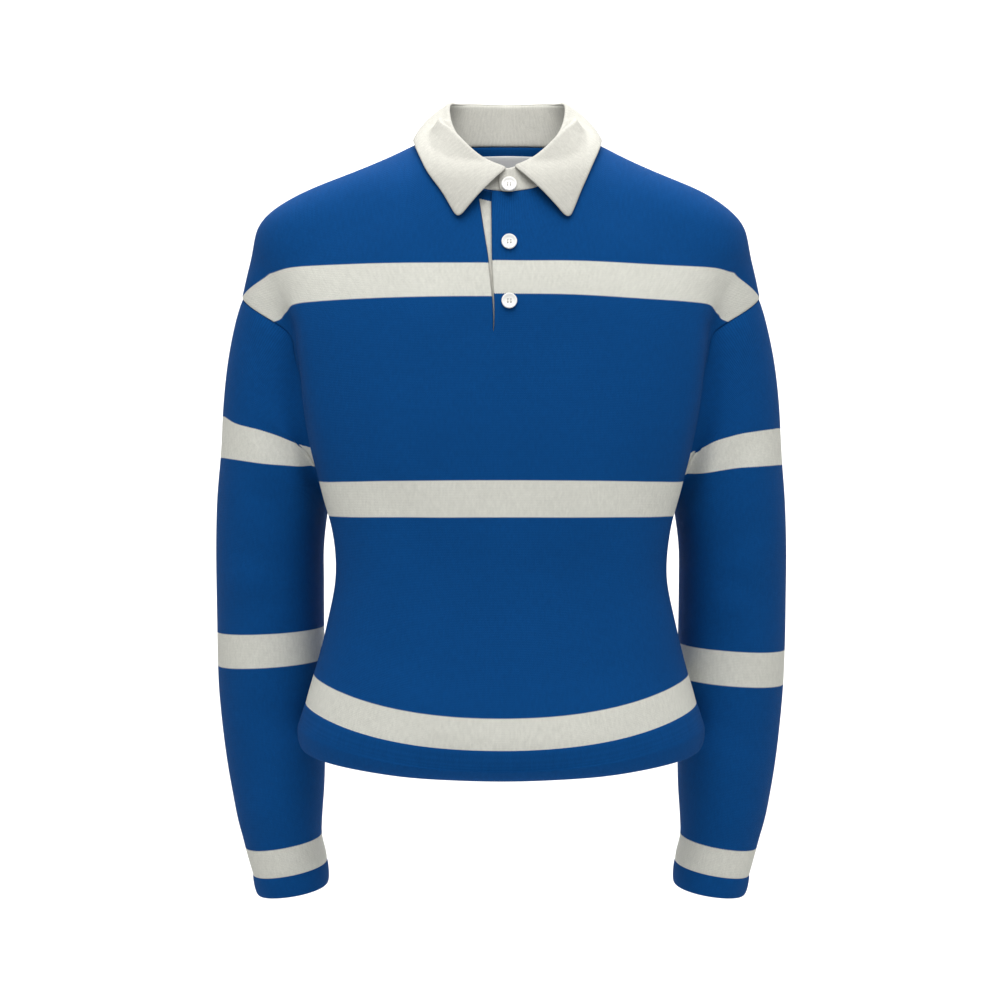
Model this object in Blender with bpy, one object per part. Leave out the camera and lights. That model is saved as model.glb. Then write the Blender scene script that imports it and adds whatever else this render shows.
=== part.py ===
"""A knitted polo shirt with long sleeves, filled out as if worn, hollow and open.

Metres, +Z up. The front faces -Y and +X is the wearer's left. The origin is where the
wearer carries the shirt: the middle of the neck, level with the top of the shoulders.
Sizes below are in millimetres and become metres in the last step of each piece.
"""
import math

import bmesh
import bpy
import numpy as np

MM = 0.001

# Driving sizes, in millimetres.
WALL = 2.2                 # body and sleeve knit
COLLAR_WALL = 2.4          # flat-knit collar
SEAM_GAP = 0.36            # between sewn pieces
NECK_X = 6.0               # the neck and placket sit a little to the wearer's left
SHOULDER_TIP = (245.0, 0.0, -136.0)
ARMHOLE_HALF_DEPTH = 58.0
ARMHOLE_POWER = 4.3        # how soon the armhole leaves the shoulder tip for the underarm
SIDE_SEAM_Y = 8.0
BACK_VALLEY_Y = 69.0       # where the back leaves the torso for the arm
ARM_SWELL = 14.0           # how far the cloth bows over the arm near the shoulder tip
SHOULDER_SWELL = 18.0      # and over the shoulder
NECK_POINT_SHARE = 4.0 / 13.0  # share of a panel's half width that belongs to the neckline
PLACKET_LEFT = -13.5       # the placket strip, measured across from the neck's middle
PLACKET_RIGHT = 14.5
PLACKET_GAPE = 10.5        # how far the under edge falls back at the top
NECK_SPREAD = 0.4          # how much wider a panel's columns stand at the neckline than at the chest
CHEST_HALF_GIRTH = 280.0   # half width of a panel laid flat at the chest
LABEL_WIDTH = 58.0
LABEL_STEPS = (0.32, 0.66, 1.0)  # mesh rows below the neckline
LABEL_GAP = 0.8
LABEL_WALL = 0.8
STAND_LAP = 9.5            # degrees by which the neckband's ends pass the front
LEAF_START = 178.0         # how far round from the back each side of the leaf begins
LEAF_SET_BACK_LEFT = 10.0  # and how far its left front corner is folded back from there
LEAF_LIFT = 1.0            # the leaf's fold above the neckband's top
LEAF_OFF_STAND = 2.2       # clear space between neckband and leaf at the fold
LEAF_OFF_BODY = 1.6        # and between the leaf's edge and the shoulders
LEAF_BOW = 5.0             # how far the leaf bows out between its fold and its edge
LEAF_TIP_OUT = 5.0         # how far both leaf points lie to the wearer's left of the neck's middle
FOOT_LIFT = 1.3            # the neckband stands this far off the neckline's edge
PLACKET_OUT = 0.7          # the placket's outer face above the front panel
PLACKET_IN = -1.7          # and its inner face
UNDER_OUT = -3.0           # the under placket's two faces
UNDER_IN = -4.6
UNDER_PAST = 3.3           # how far the under placket passes under the front's cut edge
BUTTON_LIFT = 1.2          # a button's back above the placket
TOP_BUTTON_LIFT = 5.6      # and above the form on the neckband, which stands further out
BUTTON_EDGE = 0.7          # rounding
BUTTON_ACROSS = 1.2        # from the neck's middle
BUTTON_RADIUS = 7.0
BUTTON_THICK = 2.6
BUTTON_HEIGHTS = (-41.0, -96.0, -150.0)

# Mesh counts.
BODY_ROWS_BELOW = 11
ARMHOLE_ROWS = 11
SHOULDER_ROWS = 6
HALF_COLUMNS = 13
STAND_COLUMNS = 40
LEAF_COLUMNS = 36

# The torso at each height: half width, how far the front and back stand out, where it is
# widest, how square its front and back are, and how softly it runs into the arms.
TORSO_COLUMNS = ("z", "half_width", "front", "back", "widest_y", "front_power", "back_power", "blend")
TORSO = (
    (-580, 180, 108, 98, -28, 2.30, 2.10, 1),
    (-562, 184, 124, 106, -29, 2.30, 2.10, 1),
    (-543, 187, 129, 111, -30, 2.30, 2.10, 1),
    (-512, 181, 124, 108, -31, 2.30, 2.10, 1),
    (-474, 170, 115, 101, -34, 2.30, 2.15, 1),
    (-438, 161, 109, 95, -37, 2.30, 2.20, 1),
    (-394, 153, 106, 92, -40, 2.30, 2.25, 2),
    (-350, 157, 108, 94, -42, 2.35, 2.35, 4),
    (-323, 165, 110, 97, -44, 2.40, 2.50, 9),
    (-294, 174, 112, 101, -46, 2.45, 2.70, 12),
    (-232, 185, 114, 108, -50, 2.50, 3.00, 14),
    (-188, 190, 113, 110, -52, 2.50, 3.00, 15),
    (-146, 194, 110, 107, -50, 2.45, 2.90, 18),
    (-113, 205, 104, 102, -36, 2.35, 2.60, 24),
    (-88, 217, 99, 97, -20, 2.25, 2.40, 30),
    (-65, 217, 93, 91, -8, 2.15, 2.20, 34),
    (-37, 187, 84, 83, 0, 2.05, 2.10, 30),
    (-14, 130, 75, 76, 0, 2.00, 2.00, 24),
    (8, 88, 66, 67, 0, 2.00, 2.00, 18),
    (24, 66, 58, 60, 0, 2.00, 2.00, 12),
    (44, 12, 12, 12, 0, 2.00, 2.00, 4),
)

# The arm at each height: where its middle lies, half its width and half its depth.
ARM_COLUMNS = ("z", "middle_x", "half_width", "middle_y", "half_depth")
ARM = (
    (-730, 197, 32.5, 33, 37),
    (-713, 200.5, 34, 34, 38.5),
    (-690, 204.5, 36, 36, 40.5),
    (-672, 208, 38, 38, 42.5),
    (-656, 212.5, 38, 40, 44),
    (-640, 215, 40.5, 42, 47),
    (-610, 217.5, 44.5, 45, 51),
    (-563, 221, 48.7, 47, 55),
    (-517, 223.4, 50.8, 46, 57),
    (-475, 224, 51.4, 43, 58),
    (-410, 224.3, 51.5, 37, 59),
    (-375, 223.8, 51.7, 33, 59),
    (-328, 219.5, 54, 28, 60),
    (-282, 212, 57, 24, 61),
    (-236, 207, 59.5, 20, 61),
    (-201, 203, 59, 16, 61),
    (-156, 195, 57, 9, 60),
    (-134, 190.6, 55, 5, 59),
    (-111, 186, 54, 2, 58),
    (-88, 180, 52.8, 0, 56),
    (-65, 169, 51, 0, 53),
    (-40, 135, 46, 0, 48),
    (-14, 90, 34, 0, 38),
    (8, 55, 24, 0, 28),
    (24, 36, 12, 0, 16),
    (44, 3, 3, 0, 3),
)

# Knitted rows of the two body panels: where each lies at the middle and how far it rises
# at the widest point. 0 is the hem seam, 1 the underarm, 2 the shoulder tip.
BODY_COLUMNS = ("row", "z", "rise")
BODY_ROWS = (
    (-1.0, -571, 14),
    (0.0, -541, 30),
    (0.15, -508, 28),
    (0.45, -445, 12),
    (0.75, -379, 2),
    (1.0, -321, -2),
    (1.32, -256, -4),
    (1.0 + 7.0 / 11.0, -178, -5),
    (1.82, -143, -4),
    (2.0, -108, 0),
)

# Rings of a sleeve: height at the outer and the inner side, and how late the ring drops.
SLEEVE_COLUMNS = ("ring", "outer_z", "inner_z", "lateness")
SLEEVE = (
    (0.20, -247.5, -334, 2.9),
    (0.27, -287, -346, 6.0),
    (0.36, -340, -376, 3.0),
    (0.46, -400, -408, 1.2),
    (0.57, -460, -455, 1.0),
    (0.63, -492, -486, 1.0),
    (0.75, -560, -551, 1.0),
    (0.85, -618, -607, 1.0),
    (0.95, -667, -656, 1.0),
    (1.00, -693, -681, 1.0),
    (1.04, -709, -700, 1.0),
)

# The shoulder line from the neck point to the shoulder tip, seen from the front.
SHOULDER_LINE = (
    (88, 8), (105, -3), (130, -14), (163, -26), (189, -37), (205, -48),
    (221, -65), (233, -88), (240, -111), (245, -136),
)

# Half the collar, by angle round the neck from the middle of the front (0) to the middle
# of the back (180): its foot on the neckline, its fold and the edge of its leaf.
COLLAR_COLUMNS = ("angle", "foot_x", "foot_y", "foot_z", "fold_x", "fold_y", "fold_z",
                  "edge_x", "edge_y", "edge_z")
COLLAR = (
    (0, 0, -89, -48, 0, -88, -27, 49, -105, -73),
    (20, 27, -84, -43, 17, -76, -18, 62, -88, -50),
    (45, 54, -66, -28, 34, -53, -3, 73, -62, -32),
    (70, 72, -34, -9, 50, -20, 21, 81, -35, -10),
    (100, 78, 5, 6, 56, 14, 50, 86, 0, 13),
    (135, 58, 45, 14, 44, 49, 59, 67, 54, 12),
    (180, 0, 62, 18, 0, 65, 61, 0, 82, 14),
)


def flowing(at, places, values):
    """Read a smooth curve through a table's values at the given places."""
    places = np.asarray(places, float)
    values = np.asarray(values, float)
    at = np.clip(np.asarray(at, float), places[0], places[-1])
    slopes = np.gradient(values, places)
    low = np.clip(np.searchsorted(places, at, side="right") - 1, 0, len(places) - 2)
    width = places[low + 1] - places[low]
    t = (at - places[low]) / width
    rise = values[low + 1] - values[low]
    bend_low = slopes[low] * width - rise
    bend_high = rise - slopes[low + 1] * width
    return values[low] + t * rise + t * (1 - t) * ((1 - t) * bend_low + t * bend_high)


def reader(table, columns):
    """Return a function that reads a named column of a table at any place in it."""
    rows = np.array(sorted(table), float)

    def read(at, name):
        return flowing(at, rows[:, 0], rows[:, columns.index(name)])

    return read


torso_at = reader(TORSO, TORSO_COLUMNS)
arm_at = reader(ARM, ARM_COLUMNS)
body_row_at = reader(BODY_ROWS, BODY_COLUMNS)
sleeve_at = reader(SLEEVE, SLEEVE_COLUMNS)
collar_at = reader(COLLAR, COLLAR_COLUMNS)


def eased(t):
    """A share from 0 to 1 that starts and ends softly."""
    t = np.clip(t, 0.0, 1.0)
    return t * t * (3 - 2 * t)


def oval_distance(across, along, half_width, half_depth, power):
    """How far a point lies outside an oval, nearly."""
    u = np.abs(across) / half_width
    v = np.abs(along) / half_depth
    size = np.maximum(u ** power + v ** power, 1e-9) ** (1 / power)
    steepness = size ** (1 - power) * np.hypot(u ** (power - 1) / half_width,
                                               v ** (power - 1) / half_depth)
    return (size - 1) / np.maximum(steepness, 1e-6)


def form(points):
    """How far points lie outside the filled-out shirt: torso and arms run into each other."""
    y, z = points[..., 1], points[..., 2]
    x = points[..., 0] - NECK_X * eased((z + 60.0) / 70.0)
    widest = torso_at(z, "widest_y")
    ahead = y < widest
    depth = np.where(ahead, widest + torso_at(z, "front"), torso_at(z, "back") - widest)
    power = np.where(ahead, torso_at(z, "front_power"), torso_at(z, "back_power"))
    torso = oval_distance(x, y - widest, torso_at(z, "half_width"), depth, power)
    arm = oval_distance(np.abs(x) - arm_at(z, "middle_x"), y - arm_at(z, "middle_y"),
                        arm_at(z, "half_width"), arm_at(z, "half_depth"), 2.1)
    blend = torso_at(z, "blend")
    share = np.clip(0.5 + 0.5 * (arm - torso) / blend, 0, 1)
    return arm + (torso - arm) * share - blend * share * (1 - share)


def slope_of_form(points, step=0.4):
    """The direction in which the distance from the form grows, and how fast."""
    slope = np.empty_like(points)
    for axis in range(3):
        nudge = np.zeros(3)
        nudge[axis] = step
        slope[..., axis] = (form(points + nudge) - form(points - nudge)) / (2 * step)
    return slope


def outward(points):
    """Unit directions that point out of the cloth."""
    slope = slope_of_form(points)
    return slope / np.linalg.norm(slope, axis=-1, keepdims=True)


def settle(points, rounds=9, longest=14.0):
    """Bring points onto the form's surface."""
    points = np.array(points, float)
    for _ in range(rounds):
        slope = slope_of_form(points)
        steep = np.sum(slope * slope, axis=-1, keepdims=True)
        move = -form(points)[..., None] * slope / np.maximum(steep, 0.05)
        length = np.linalg.norm(move, axis=-1, keepdims=True)
        points = points + move * np.minimum(1.0, longest / np.maximum(length, 1e-9))
    return points


def spaced(path, shares):
    """Points at the given shares of a path's length."""
    run = np.concatenate([[0.0], np.cumsum(np.linalg.norm(np.diff(path, axis=0), axis=1))])
    return np.stack([np.interp(np.asarray(shares) * run[-1], run, path[:, k]) for k in range(3)], axis=-1)


def armhole(angle, face):
    """The armhole seam: angle 0 at the shoulder tip, pi under the arm, on the front or back face."""
    drop = (1 - np.cos(angle)) / 2
    tip, under = SHOULDER_TIP, level_path(1, 1.0)[-1]
    x = under[0] + (tip[0] - under[0]) * (1 - drop) ** ARMHOLE_POWER
    middle_y = tip[1] + (under[1] - tip[1]) * drop + 8.0 * np.sin(angle)
    y = middle_y - face * ARMHOLE_HALF_DEPTH * np.sin(angle)
    z = tip[2] + (under[2] - tip[2]) * drop
    return np.stack([x, y, z], axis=-1)


def level_path(face, row, end_y=SIDE_SEAM_Y, count=120):
    """Half a knitted row round the torso, from the middle of the front or back to a given y."""
    middle = body_row_at(row, "z")
    rise = body_row_at(row, "rise")
    widest, back = torso_at(middle, "widest_y"), torso_at(middle, "back")
    turn = math.asin((max(0.0, end_y - widest) / (back - widest)) ** (torso_at(middle, "back_power") / 2))
    seam_angle = math.pi / 2 + turn
    start = 0.0 if face > 0 else math.pi
    angle = np.linspace(start, seam_angle, count)
    z = middle + rise * np.sin(angle) ** 1.9
    widest = torso_at(z, "widest_y")
    ahead = angle < math.pi / 2
    power = np.where(ahead, torso_at(z, "front_power"), torso_at(z, "back_power"))
    x = torso_at(z, "half_width") * np.abs(np.sin(angle)) ** (2 / power)
    reach = np.abs(np.cos(angle)) ** (2 / power)
    y = np.where(ahead, widest - (widest + torso_at(z, "front")) * reach,
                 widest + (torso_at(z, "back") - widest) * reach)
    return np.stack([x, y, z], axis=-1)


def half_row(face, row, shares):
    """Points of half a knitted row, from the middle (0) to the panel's edge (1), near the form."""
    if row <= 1.0:
        return spaced(level_path(face, row), shares)
    if row <= 2.0:
        part_up = eased((row - 1.0) / 0.12)
        valley_y = torso_at(body_row_at(row, "z"), "widest_y") if face > 0 else BACK_VALLEY_Y
        path = level_path(face, row, SIDE_SEAM_Y + (valley_y - SIDE_SEAM_Y) * part_up)
        edge = armhole(math.pi * (2.0 - row), face)
        along = np.linspace(0, 1, 40)[1:, None]
        onto_arm = path[-1] + (edge - path[-1]) * along
        swell = ARM_SWELL * eased((row - 1.5) / 0.5)
        onto_arm[:, 1:2] -= face * swell * np.sqrt(np.maximum(0.0, 4 * along * (1 - along)))
        return spaced(np.concatenate([path, onto_arm]), shares)
    low = half_row(face, 2.0, shares)
    climb = row - 2.0
    points = low * (1 - climb) + panel_top(face, shares) * climb
    points[:, 1] -= face * SHOULDER_SWELL * 4 * climb * (1 - climb) * (1 - np.asarray(shares) ** 4)
    return points


def neckline(face, share):
    """The panel's neckline from its middle (0) to the neck point on the shoulder (1)."""
    angle = 100.0 * share if face > 0 else 180.0 - 80.0 * share
    return np.stack([collar_at(angle, "foot_x"), collar_at(angle, "foot_y"),
                     collar_at(angle, "foot_z")], axis=-1)


def panel_top(face, shares):
    """The top of a panel: the neckline, then the shoulder line out to the tip."""
    shares = np.asarray(shares, float)
    neck = neckline(face, np.minimum(shares / NECK_POINT_SHARE, 1.0))
    line = np.array(SHOULDER_LINE, float)
    dense = np.linspace(0, len(line) - 1, 120)
    order = np.arange(len(line))
    path = np.stack([flowing(dense, order, line[:, 0]), np.zeros(120), flowing(dense, order, line[:, 1])], axis=-1)
    path[0] = neckline(face, np.array(1.0))
    path[:, 1] = path[0, 1] * (1 - dense / dense[-1])
    out = spaced(path, np.clip((shares - NECK_POINT_SHARE) / (1 - NECK_POINT_SHARE), 0, 1))
    return np.where((shares > NECK_POINT_SHARE)[:, None], out, neck)


def panel(face, shares, rows):
    """Points of a body panel at signed shares across (-1 to 1) and at knitted rows.

    shares has one list of columns for each row, or one for all rows.
    """
    shares = np.broadcast_to(np.asarray(shares, float), (len(rows), np.shape(shares)[-1]))
    grid = np.empty(shares.shape + (3,))
    for k, row in enumerate(rows):
        points = half_row(face, row, np.abs(shares[k]))
        points[:, 0] *= np.sign(shares[k]) + (shares[k] == 0)
        nearness = eased((1 - np.abs(shares[k])) / (1 - NECK_POINT_SHARE))
        off_middle = NECK_X * np.clip((row - 1.2) / 0.6, 0, 1) * nearness
        points[:, 0] += off_middle
        grid[k] = points
    return settle(grid)


def sleeve_ring(angles, ring):
    """Points of the wearer's left sleeve round one ring, near the form; angle 0 is outermost."""
    outer, inner = sleeve_at(ring, "outer_z"), sleeve_at(ring, "inner_z")
    drop = ((1 - np.cos(angles)) / 2) ** sleeve_at(ring, "lateness")
    z = outer + (inner - outer) * drop
    x = arm_at(z, "middle_x") + arm_at(z, "half_width") * np.cos(angles)
    y = arm_at(z, "middle_y") - arm_at(z, "half_depth") * np.sin(angles)
    return np.stack([x, y, z], axis=-1)


def sleeve(angles, rings):
    """Points of the wearer's left sleeve, from the armhole (ring 0) to the cuff (ring 1)."""
    angles = np.asarray(angles, float)
    seam = np.where((angles <= math.pi)[:, None], armhole(angles, 1), armhole(2 * math.pi - angles, -1))
    first = SLEEVE[0][0]
    grid = np.empty((len(rings), len(angles), 3))
    for k, ring in enumerate(rings):
        if ring >= first:
            grid[k] = sleeve_ring(angles, ring)
        else:
            share = ring / first
            grid[k] = seam * (1 - share) + sleeve_ring(angles, first) * share
    return settle(grid)


def round_collar(angles, which):
    """Points of the collar's foot, fold or edge at signed angles, the wearer's left positive."""
    turn = (np.asarray(angles, float) + 180.0) % 360.0 - 180.0
    side = np.where(turn < 0, -1.0, 1.0)
    at = np.abs(turn)
    return np.stack([NECK_X + side * collar_at(at, which + "_x"), collar_at(at, which + "_y"),
                     collar_at(at, which + "_z")], axis=-1)


def clear_of(points, height):
    """Move points out of the form until they stand at least so high above it."""
    for _ in range(4):
        short = np.maximum(0.0, height - form(points))[..., None]
        points = points + outward(points) * short
    return points


def grid_normals(grid):
    """Unit normals of a grid of points, from its neighbours."""
    down = np.gradient(grid, axis=0)
    across = np.gradient(grid, axis=1)
    normal = np.cross(across, down)
    return normal / np.linalg.norm(normal, axis=-1, keepdims=True)


def draw_in(grid, sides, distance):
    """Pull the named edges of a grid in by a small distance, for the gap at a seam."""
    grid = grid.copy()
    ends = {"low": (0, 1, 0), "high": (-1, -2, 0), "first": (0, 1, 1), "last": (-1, -2, 1)}
    for side in sides:
        edge, within, axis = ends[side]
        view = grid if axis == 0 else grid.transpose(1, 0, 2)
        along = np.gradient(view[edge], axis=0)
        along = along / np.maximum(np.linalg.norm(along, axis=-1, keepdims=True), 1e-6)
        step = view[within] - view[edge]
        step = step - along * np.sum(step * along, axis=-1, keepdims=True)
        length = np.linalg.norm(step, axis=-1, keepdims=True)
        view[edge] = view[edge] + step / np.maximum(length, 1e-6) * distance
    return grid


def piece(name, points, faces, colour):
    """Make one closed piece from points in millimetres, with its own material."""
    triangles = np.asarray(faces)
    corner = points[triangles]
    volume = np.einsum("ij,ij->i", corner[:, 0], np.cross(corner[:, 1], corner[:, 2])).sum()
    if volume < 0:
        triangles = triangles[:, ::-1]
    mesh = bpy.data.meshes.new(name)
    mesh.from_pydata((points * MM).tolist(), [], triangles.tolist())
    body = bmesh.new()
    body.from_mesh(mesh)
    bmesh.ops.remove_doubles(body, verts=body.verts, dist=0.002 * MM)
    body.to_mesh(mesh)
    body.free()
    mesh.shade_smooth()
    mesh.set_sharp_from_angle(angle=math.radians(50))
    mesh.validate()
    finish(mesh, name, colour, KNIT_ROUGHNESS)
    obj = bpy.data.objects.new(name, mesh)
    bpy.context.scene.collection.objects.link(obj)
    return obj


def finish(mesh, name, colour, roughness):
    """Give a mesh its own plain material."""
    material = bpy.data.materials.new(name)
    material.use_nodes = True
    shader = material.node_tree.nodes["Principled BSDF"]
    shader.inputs["Base Color"].default_value = (*colour, 1.0)
    shader.inputs["Roughness"].default_value = roughness
    shader.inputs["Metallic"].default_value = 0.0
    mesh.materials.clear()
    mesh.materials.append(material)


def wall(name, outer, inner, colour, keep=None, round_across=False, turn_row=0):
    """A cloth wall between two grids of points, open at its edges and where cells are left out.

    Cells are split along the arms from turn_row upwards and across them below it, the same
    on the wearer's left and right.
    """
    rows, columns = outer.shape[:2]
    across = columns if round_across else columns - 1
    keep = np.ones((rows - 1, across), bool) if keep is None else keep
    count = rows * columns
    used = {}
    faces = []

    def corner(r, c, layer):
        key = layer * count + r * columns + c % columns
        return used.setdefault(key, len(used))

    def kept(r, c):
        if round_across:
            c %= across
        return 0 <= r < rows - 1 and 0 <= c < across and keep[r, c]

    for r in range(rows - 1):
        for c in range(across):
            if not keep[r, c]:
                continue
            side = outer[r, c, 0] + outer[r + 1, (c + 1) % columns, 0]
            turned = not round_across and (side > 0 if r >= turn_row else side < 0)
            for layer in (0, 1):
                a, b = corner(r, c, layer), corner(r, c + 1, layer)
                d, e = corner(r + 1, c + 1, layer), corner(r + 1, c, layer)
                cells = [(a, b, e), (b, d, e)] if turned else [(a, b, d), (a, d, e)]
                faces += cells if layer == 0 else [cell[::-1] for cell in cells]
            borders = (((r, c + 1), (r, c), kept(r - 1, c)), ((r + 1, c), (r + 1, c + 1), kept(r + 1, c)),
                       ((r, c), (r + 1, c), kept(r, c - 1)), ((r + 1, c + 1), (r, c + 1), kept(r, c + 1)))
            for start, end, joined in borders:
                if not joined:
                    a, b = corner(*start, 0), corner(*end, 0)
                    d, e = corner(*end, 1), corner(*start, 1)
                    faces += [(a, b, e), (b, d, e)] if turned else [(a, b, d), (a, d, e)]
    points = np.empty((len(used), 3))
    both = np.concatenate([outer.reshape(-1, 3), inner.reshape(-1, 3)])
    for key, index in used.items():
        points[index] = both[key]
    return piece(name, points, faces, colour)


def ring_body(name, loops, colour):
    """A closed band: loops of points in the order of its cross-section, each running all round."""
    count, columns = loops.shape[:2]
    faces = []
    for r in range(count):
        for c in range(columns):
            a, b = r * columns + c, r * columns + (c + 1) % columns
            d, e = (r + 1) % count * columns + (c + 1) % columns, (r + 1) % count * columns + c
            faces += [(a, b, d), (a, d, e)]
    return piece(name, loops.reshape(-1, 3), faces, colour)


BLUE = (0.009, 0.088, 0.29)
CREAM = (0.78, 0.77, 0.71)
WHITE = (0.86, 0.86, 0.84)
KNIT_ROUGHNESS = 0.9
BUTTON_ROUGHNESS = 0.35

FOOT = 7                                   # armhole row at which the placket ends
BODY_STEPS = np.concatenate([
    np.linspace(0, 1, BODY_ROWS_BELOW + 1)[:-1],
    1 + np.linspace(0, 1, ARMHOLE_ROWS + 1)[:-1],
    2 + np.linspace(0, 1, SHOULDER_ROWS + 1),
])
FOOT_INDEX = BODY_ROWS_BELOW + FOOT
SHOULDER_CELLS = BODY_ROWS_BELOW + 5
SIDE_SHARES = np.arange(2, HALF_COLUMNS + 1) / HALF_COLUMNS
SLIT = (PLACKET_LEFT / CHEST_HALF_GIRTH, PLACKET_RIGHT / CHEST_HALF_GIRTH)
FRONT_SHARES = np.concatenate([-SIDE_SHARES[::-1], SLIT, SIDE_SHARES])
BACK_SHARES = np.arange(-HALF_COLUMNS, HALF_COLUMNS + 1) / HALF_COLUMNS
SLEEVE_STEPS = np.array([0, 0.05, 0.10, 0.15, 0.20, 0.27, 0.315, 0.36, 0.41, 0.46, 0.515,
                         0.57, 0.63, 0.69, 0.75, 0.80, 0.85, 0.90, 0.95, 1.0])


def straight(rows):
    """How much smaller a share is towards the neckline, so that the placket keeps its width."""
    return 1.0 / (1.0 + NECK_SPREAD * np.clip(rows - 2.0, 0, 1))


def under_edge(rows):
    """The share across at which the under side of the neck opening is cut, at each row."""
    open_share = np.clip((rows - BODY_STEPS[FOOT_INDEX]) / (3 - BODY_STEPS[FOOT_INDEX]), 0, 1)
    return (SLIT[0] - PLACKET_GAPE / CHEST_HALF_GIRTH * open_share ** 1.2) * straight(rows)


def seamed_panel(face, shares):
    """A body panel's outer points, with its edges drawn in for the gaps at its seams."""
    whole = panel(face, shares, BODY_STEPS)
    outer = draw_in(whole, ("low", "high", "first", "last"), SEAM_GAP / 2)
    tip_row = BODY_ROWS_BELOW + ARMHOLE_ROWS
    for edge, within in ((0, 1), (-1, -2)):
        tip = whole[tip_row, edge]
        inward = whole[tip_row + 2, within] - tip
        outer[tip_row:, edge] = tip + inward / np.linalg.norm(inward) * SEAM_GAP
    return outer


def make_front():
    shares = np.tile(FRONT_SHARES, (len(BODY_STEPS), 1))
    middle = len(SIDE_SHARES)
    shares[:, middle] = under_edge(BODY_STEPS)
    shares[:, middle + 1] = SLIT[1] * straight(BODY_STEPS)
    outer = seamed_panel(1, shares)
    keep = np.ones((len(BODY_STEPS) - 1, len(FRONT_SHARES) - 1), bool)
    keep[FOOT_INDEX:, middle] = False
    wall("front_panel", outer, outer - outward(outer) * WALL, BLUE, keep, turn_row=SHOULDER_CELLS)
    return np.delete(outer[-1], middle, axis=0)


def make_back():
    outer = seamed_panel(-1, BACK_SHARES)
    inner = outer - outward(outer) * WALL
    wall("back_panel", outer, inner, BLUE, turn_row=SHOULDER_CELLS)
    return outer[-1], inner


def sleeve_angles():
    half = np.linspace(0, math.pi, ARMHOLE_ROWS + 1)
    return np.concatenate([half, 2 * math.pi - half[1:-1][::-1]])


def mirrored(points):
    """The same points on the wearer's right side."""
    return points * np.array([-1.0, 1.0, 1.0])


def make_sleeves():
    outer = draw_in(sleeve(sleeve_angles(), SLEEVE_STEPS), ("low", "high"), SEAM_GAP / 2)
    inner = outer - outward(outer) * WALL
    wall("sleeve_left", outer, inner, BLUE, round_across=True)
    wall("sleeve_right", mirrored(outer), mirrored(inner), BLUE, round_across=True)


BAND_SECTION = (                           # share of the band's depth, height above the form
    (0.015, 0.2), (0.10, 2.0), (0.50, 3.0), (0.90, 2.2), (1.0, -0.2),
    (0.90, -2.6), (0.50, -2.6), (0.015, -2.2),
)


def make_hem_band():
    front = FRONT_SHARES
    back = BACK_SHARES[1:-1][::-1]
    loops = []
    for depth, height in BAND_SECTION:
        rows = np.array([-depth])
        ring = np.concatenate([panel(1, front, rows)[0], panel(-1, back, rows)[0]])
        loops.append(ring + outward(ring) * height)
    ring_body("hem_band", np.array(loops), BLUE)


def make_cuffs():
    length = SLEEVE[-1][0] - 1.0
    rings = [1.0 + length * depth for depth, height in BAND_SECTION]
    base = sleeve(sleeve_angles(), np.array(rings))
    heights = np.array([height for depth, height in BAND_SECTION])[:, None, None]
    loops = base + outward(base) * heights * 0.8
    ring_body("cuff_left", loops, BLUE)
    ring_body("cuff_right", mirrored(loops), BLUE)


def make_placket():
    rows = BODY_STEPS[FOOT_INDEX:]
    middle = (SLIT[0] + SLIT[1]) / 2
    top = panel(1, straight(rows)[:, None] * np.array([SLIT[0], middle, SLIT[1]]), rows)
    top = draw_in(top, ("low", "first"), SEAM_GAP)
    top = draw_in(top, ("last", "high"), SEAM_GAP * 1.5)
    away = outward(top)
    wall("placket_top", top + away * PLACKET_OUT, top + away * PLACKET_IN, BLUE)
    placket_end = top[-1, :2]
    past = UNDER_PAST / CHEST_HALF_GIRTH
    width = straight(rows)
    shares = np.stack([under_edge(rows) - past, under_edge(rows), width * middle, width * SLIT[1] - past],
                      axis=-1)
    under = draw_in(panel(1, shares, rows), ("high",), 2.0)
    away = outward(under)
    wall("placket_under", under + away * UNDER_OUT, under + away * UNDER_IN, CREAM)
    return placket_end


def lapped(angles, spread=26.0, step=1.6):
    """How far the neckband's two ends lie over (+) or under (-) each other."""
    ends = np.clip((np.abs(angles) - (180.0 - spread)) / spread, 0, 1)
    return np.sign(angles) * eased(ends) * step


def turn_round_neck(points):
    """Signed angle of points round the neck, 0 at the back and positive on the wearer's left."""
    return np.degrees(np.arctan2(points[:, 0] - NECK_X, points[:, 1]))


def foot_on(tops, turn):
    """Points of the neckline's edge, made by the tops of several pieces, at turns round the neck."""
    edge = np.concatenate(tops)
    edge = edge[np.hypot(edge[:, 0] - NECK_X, edge[:, 1]) < 100.0]
    at = turn_round_neck(edge)
    order = np.argsort(at)
    edge, at = edge[order], at[order]
    edge = np.concatenate([edge[-2:], edge, edge[:2]])
    at = np.concatenate([at[-2:] - 360.0, at, at[:2] + 360.0])
    return np.stack([np.interp(turn, at, edge[:, k]) for k in range(3)], axis=-1)


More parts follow.
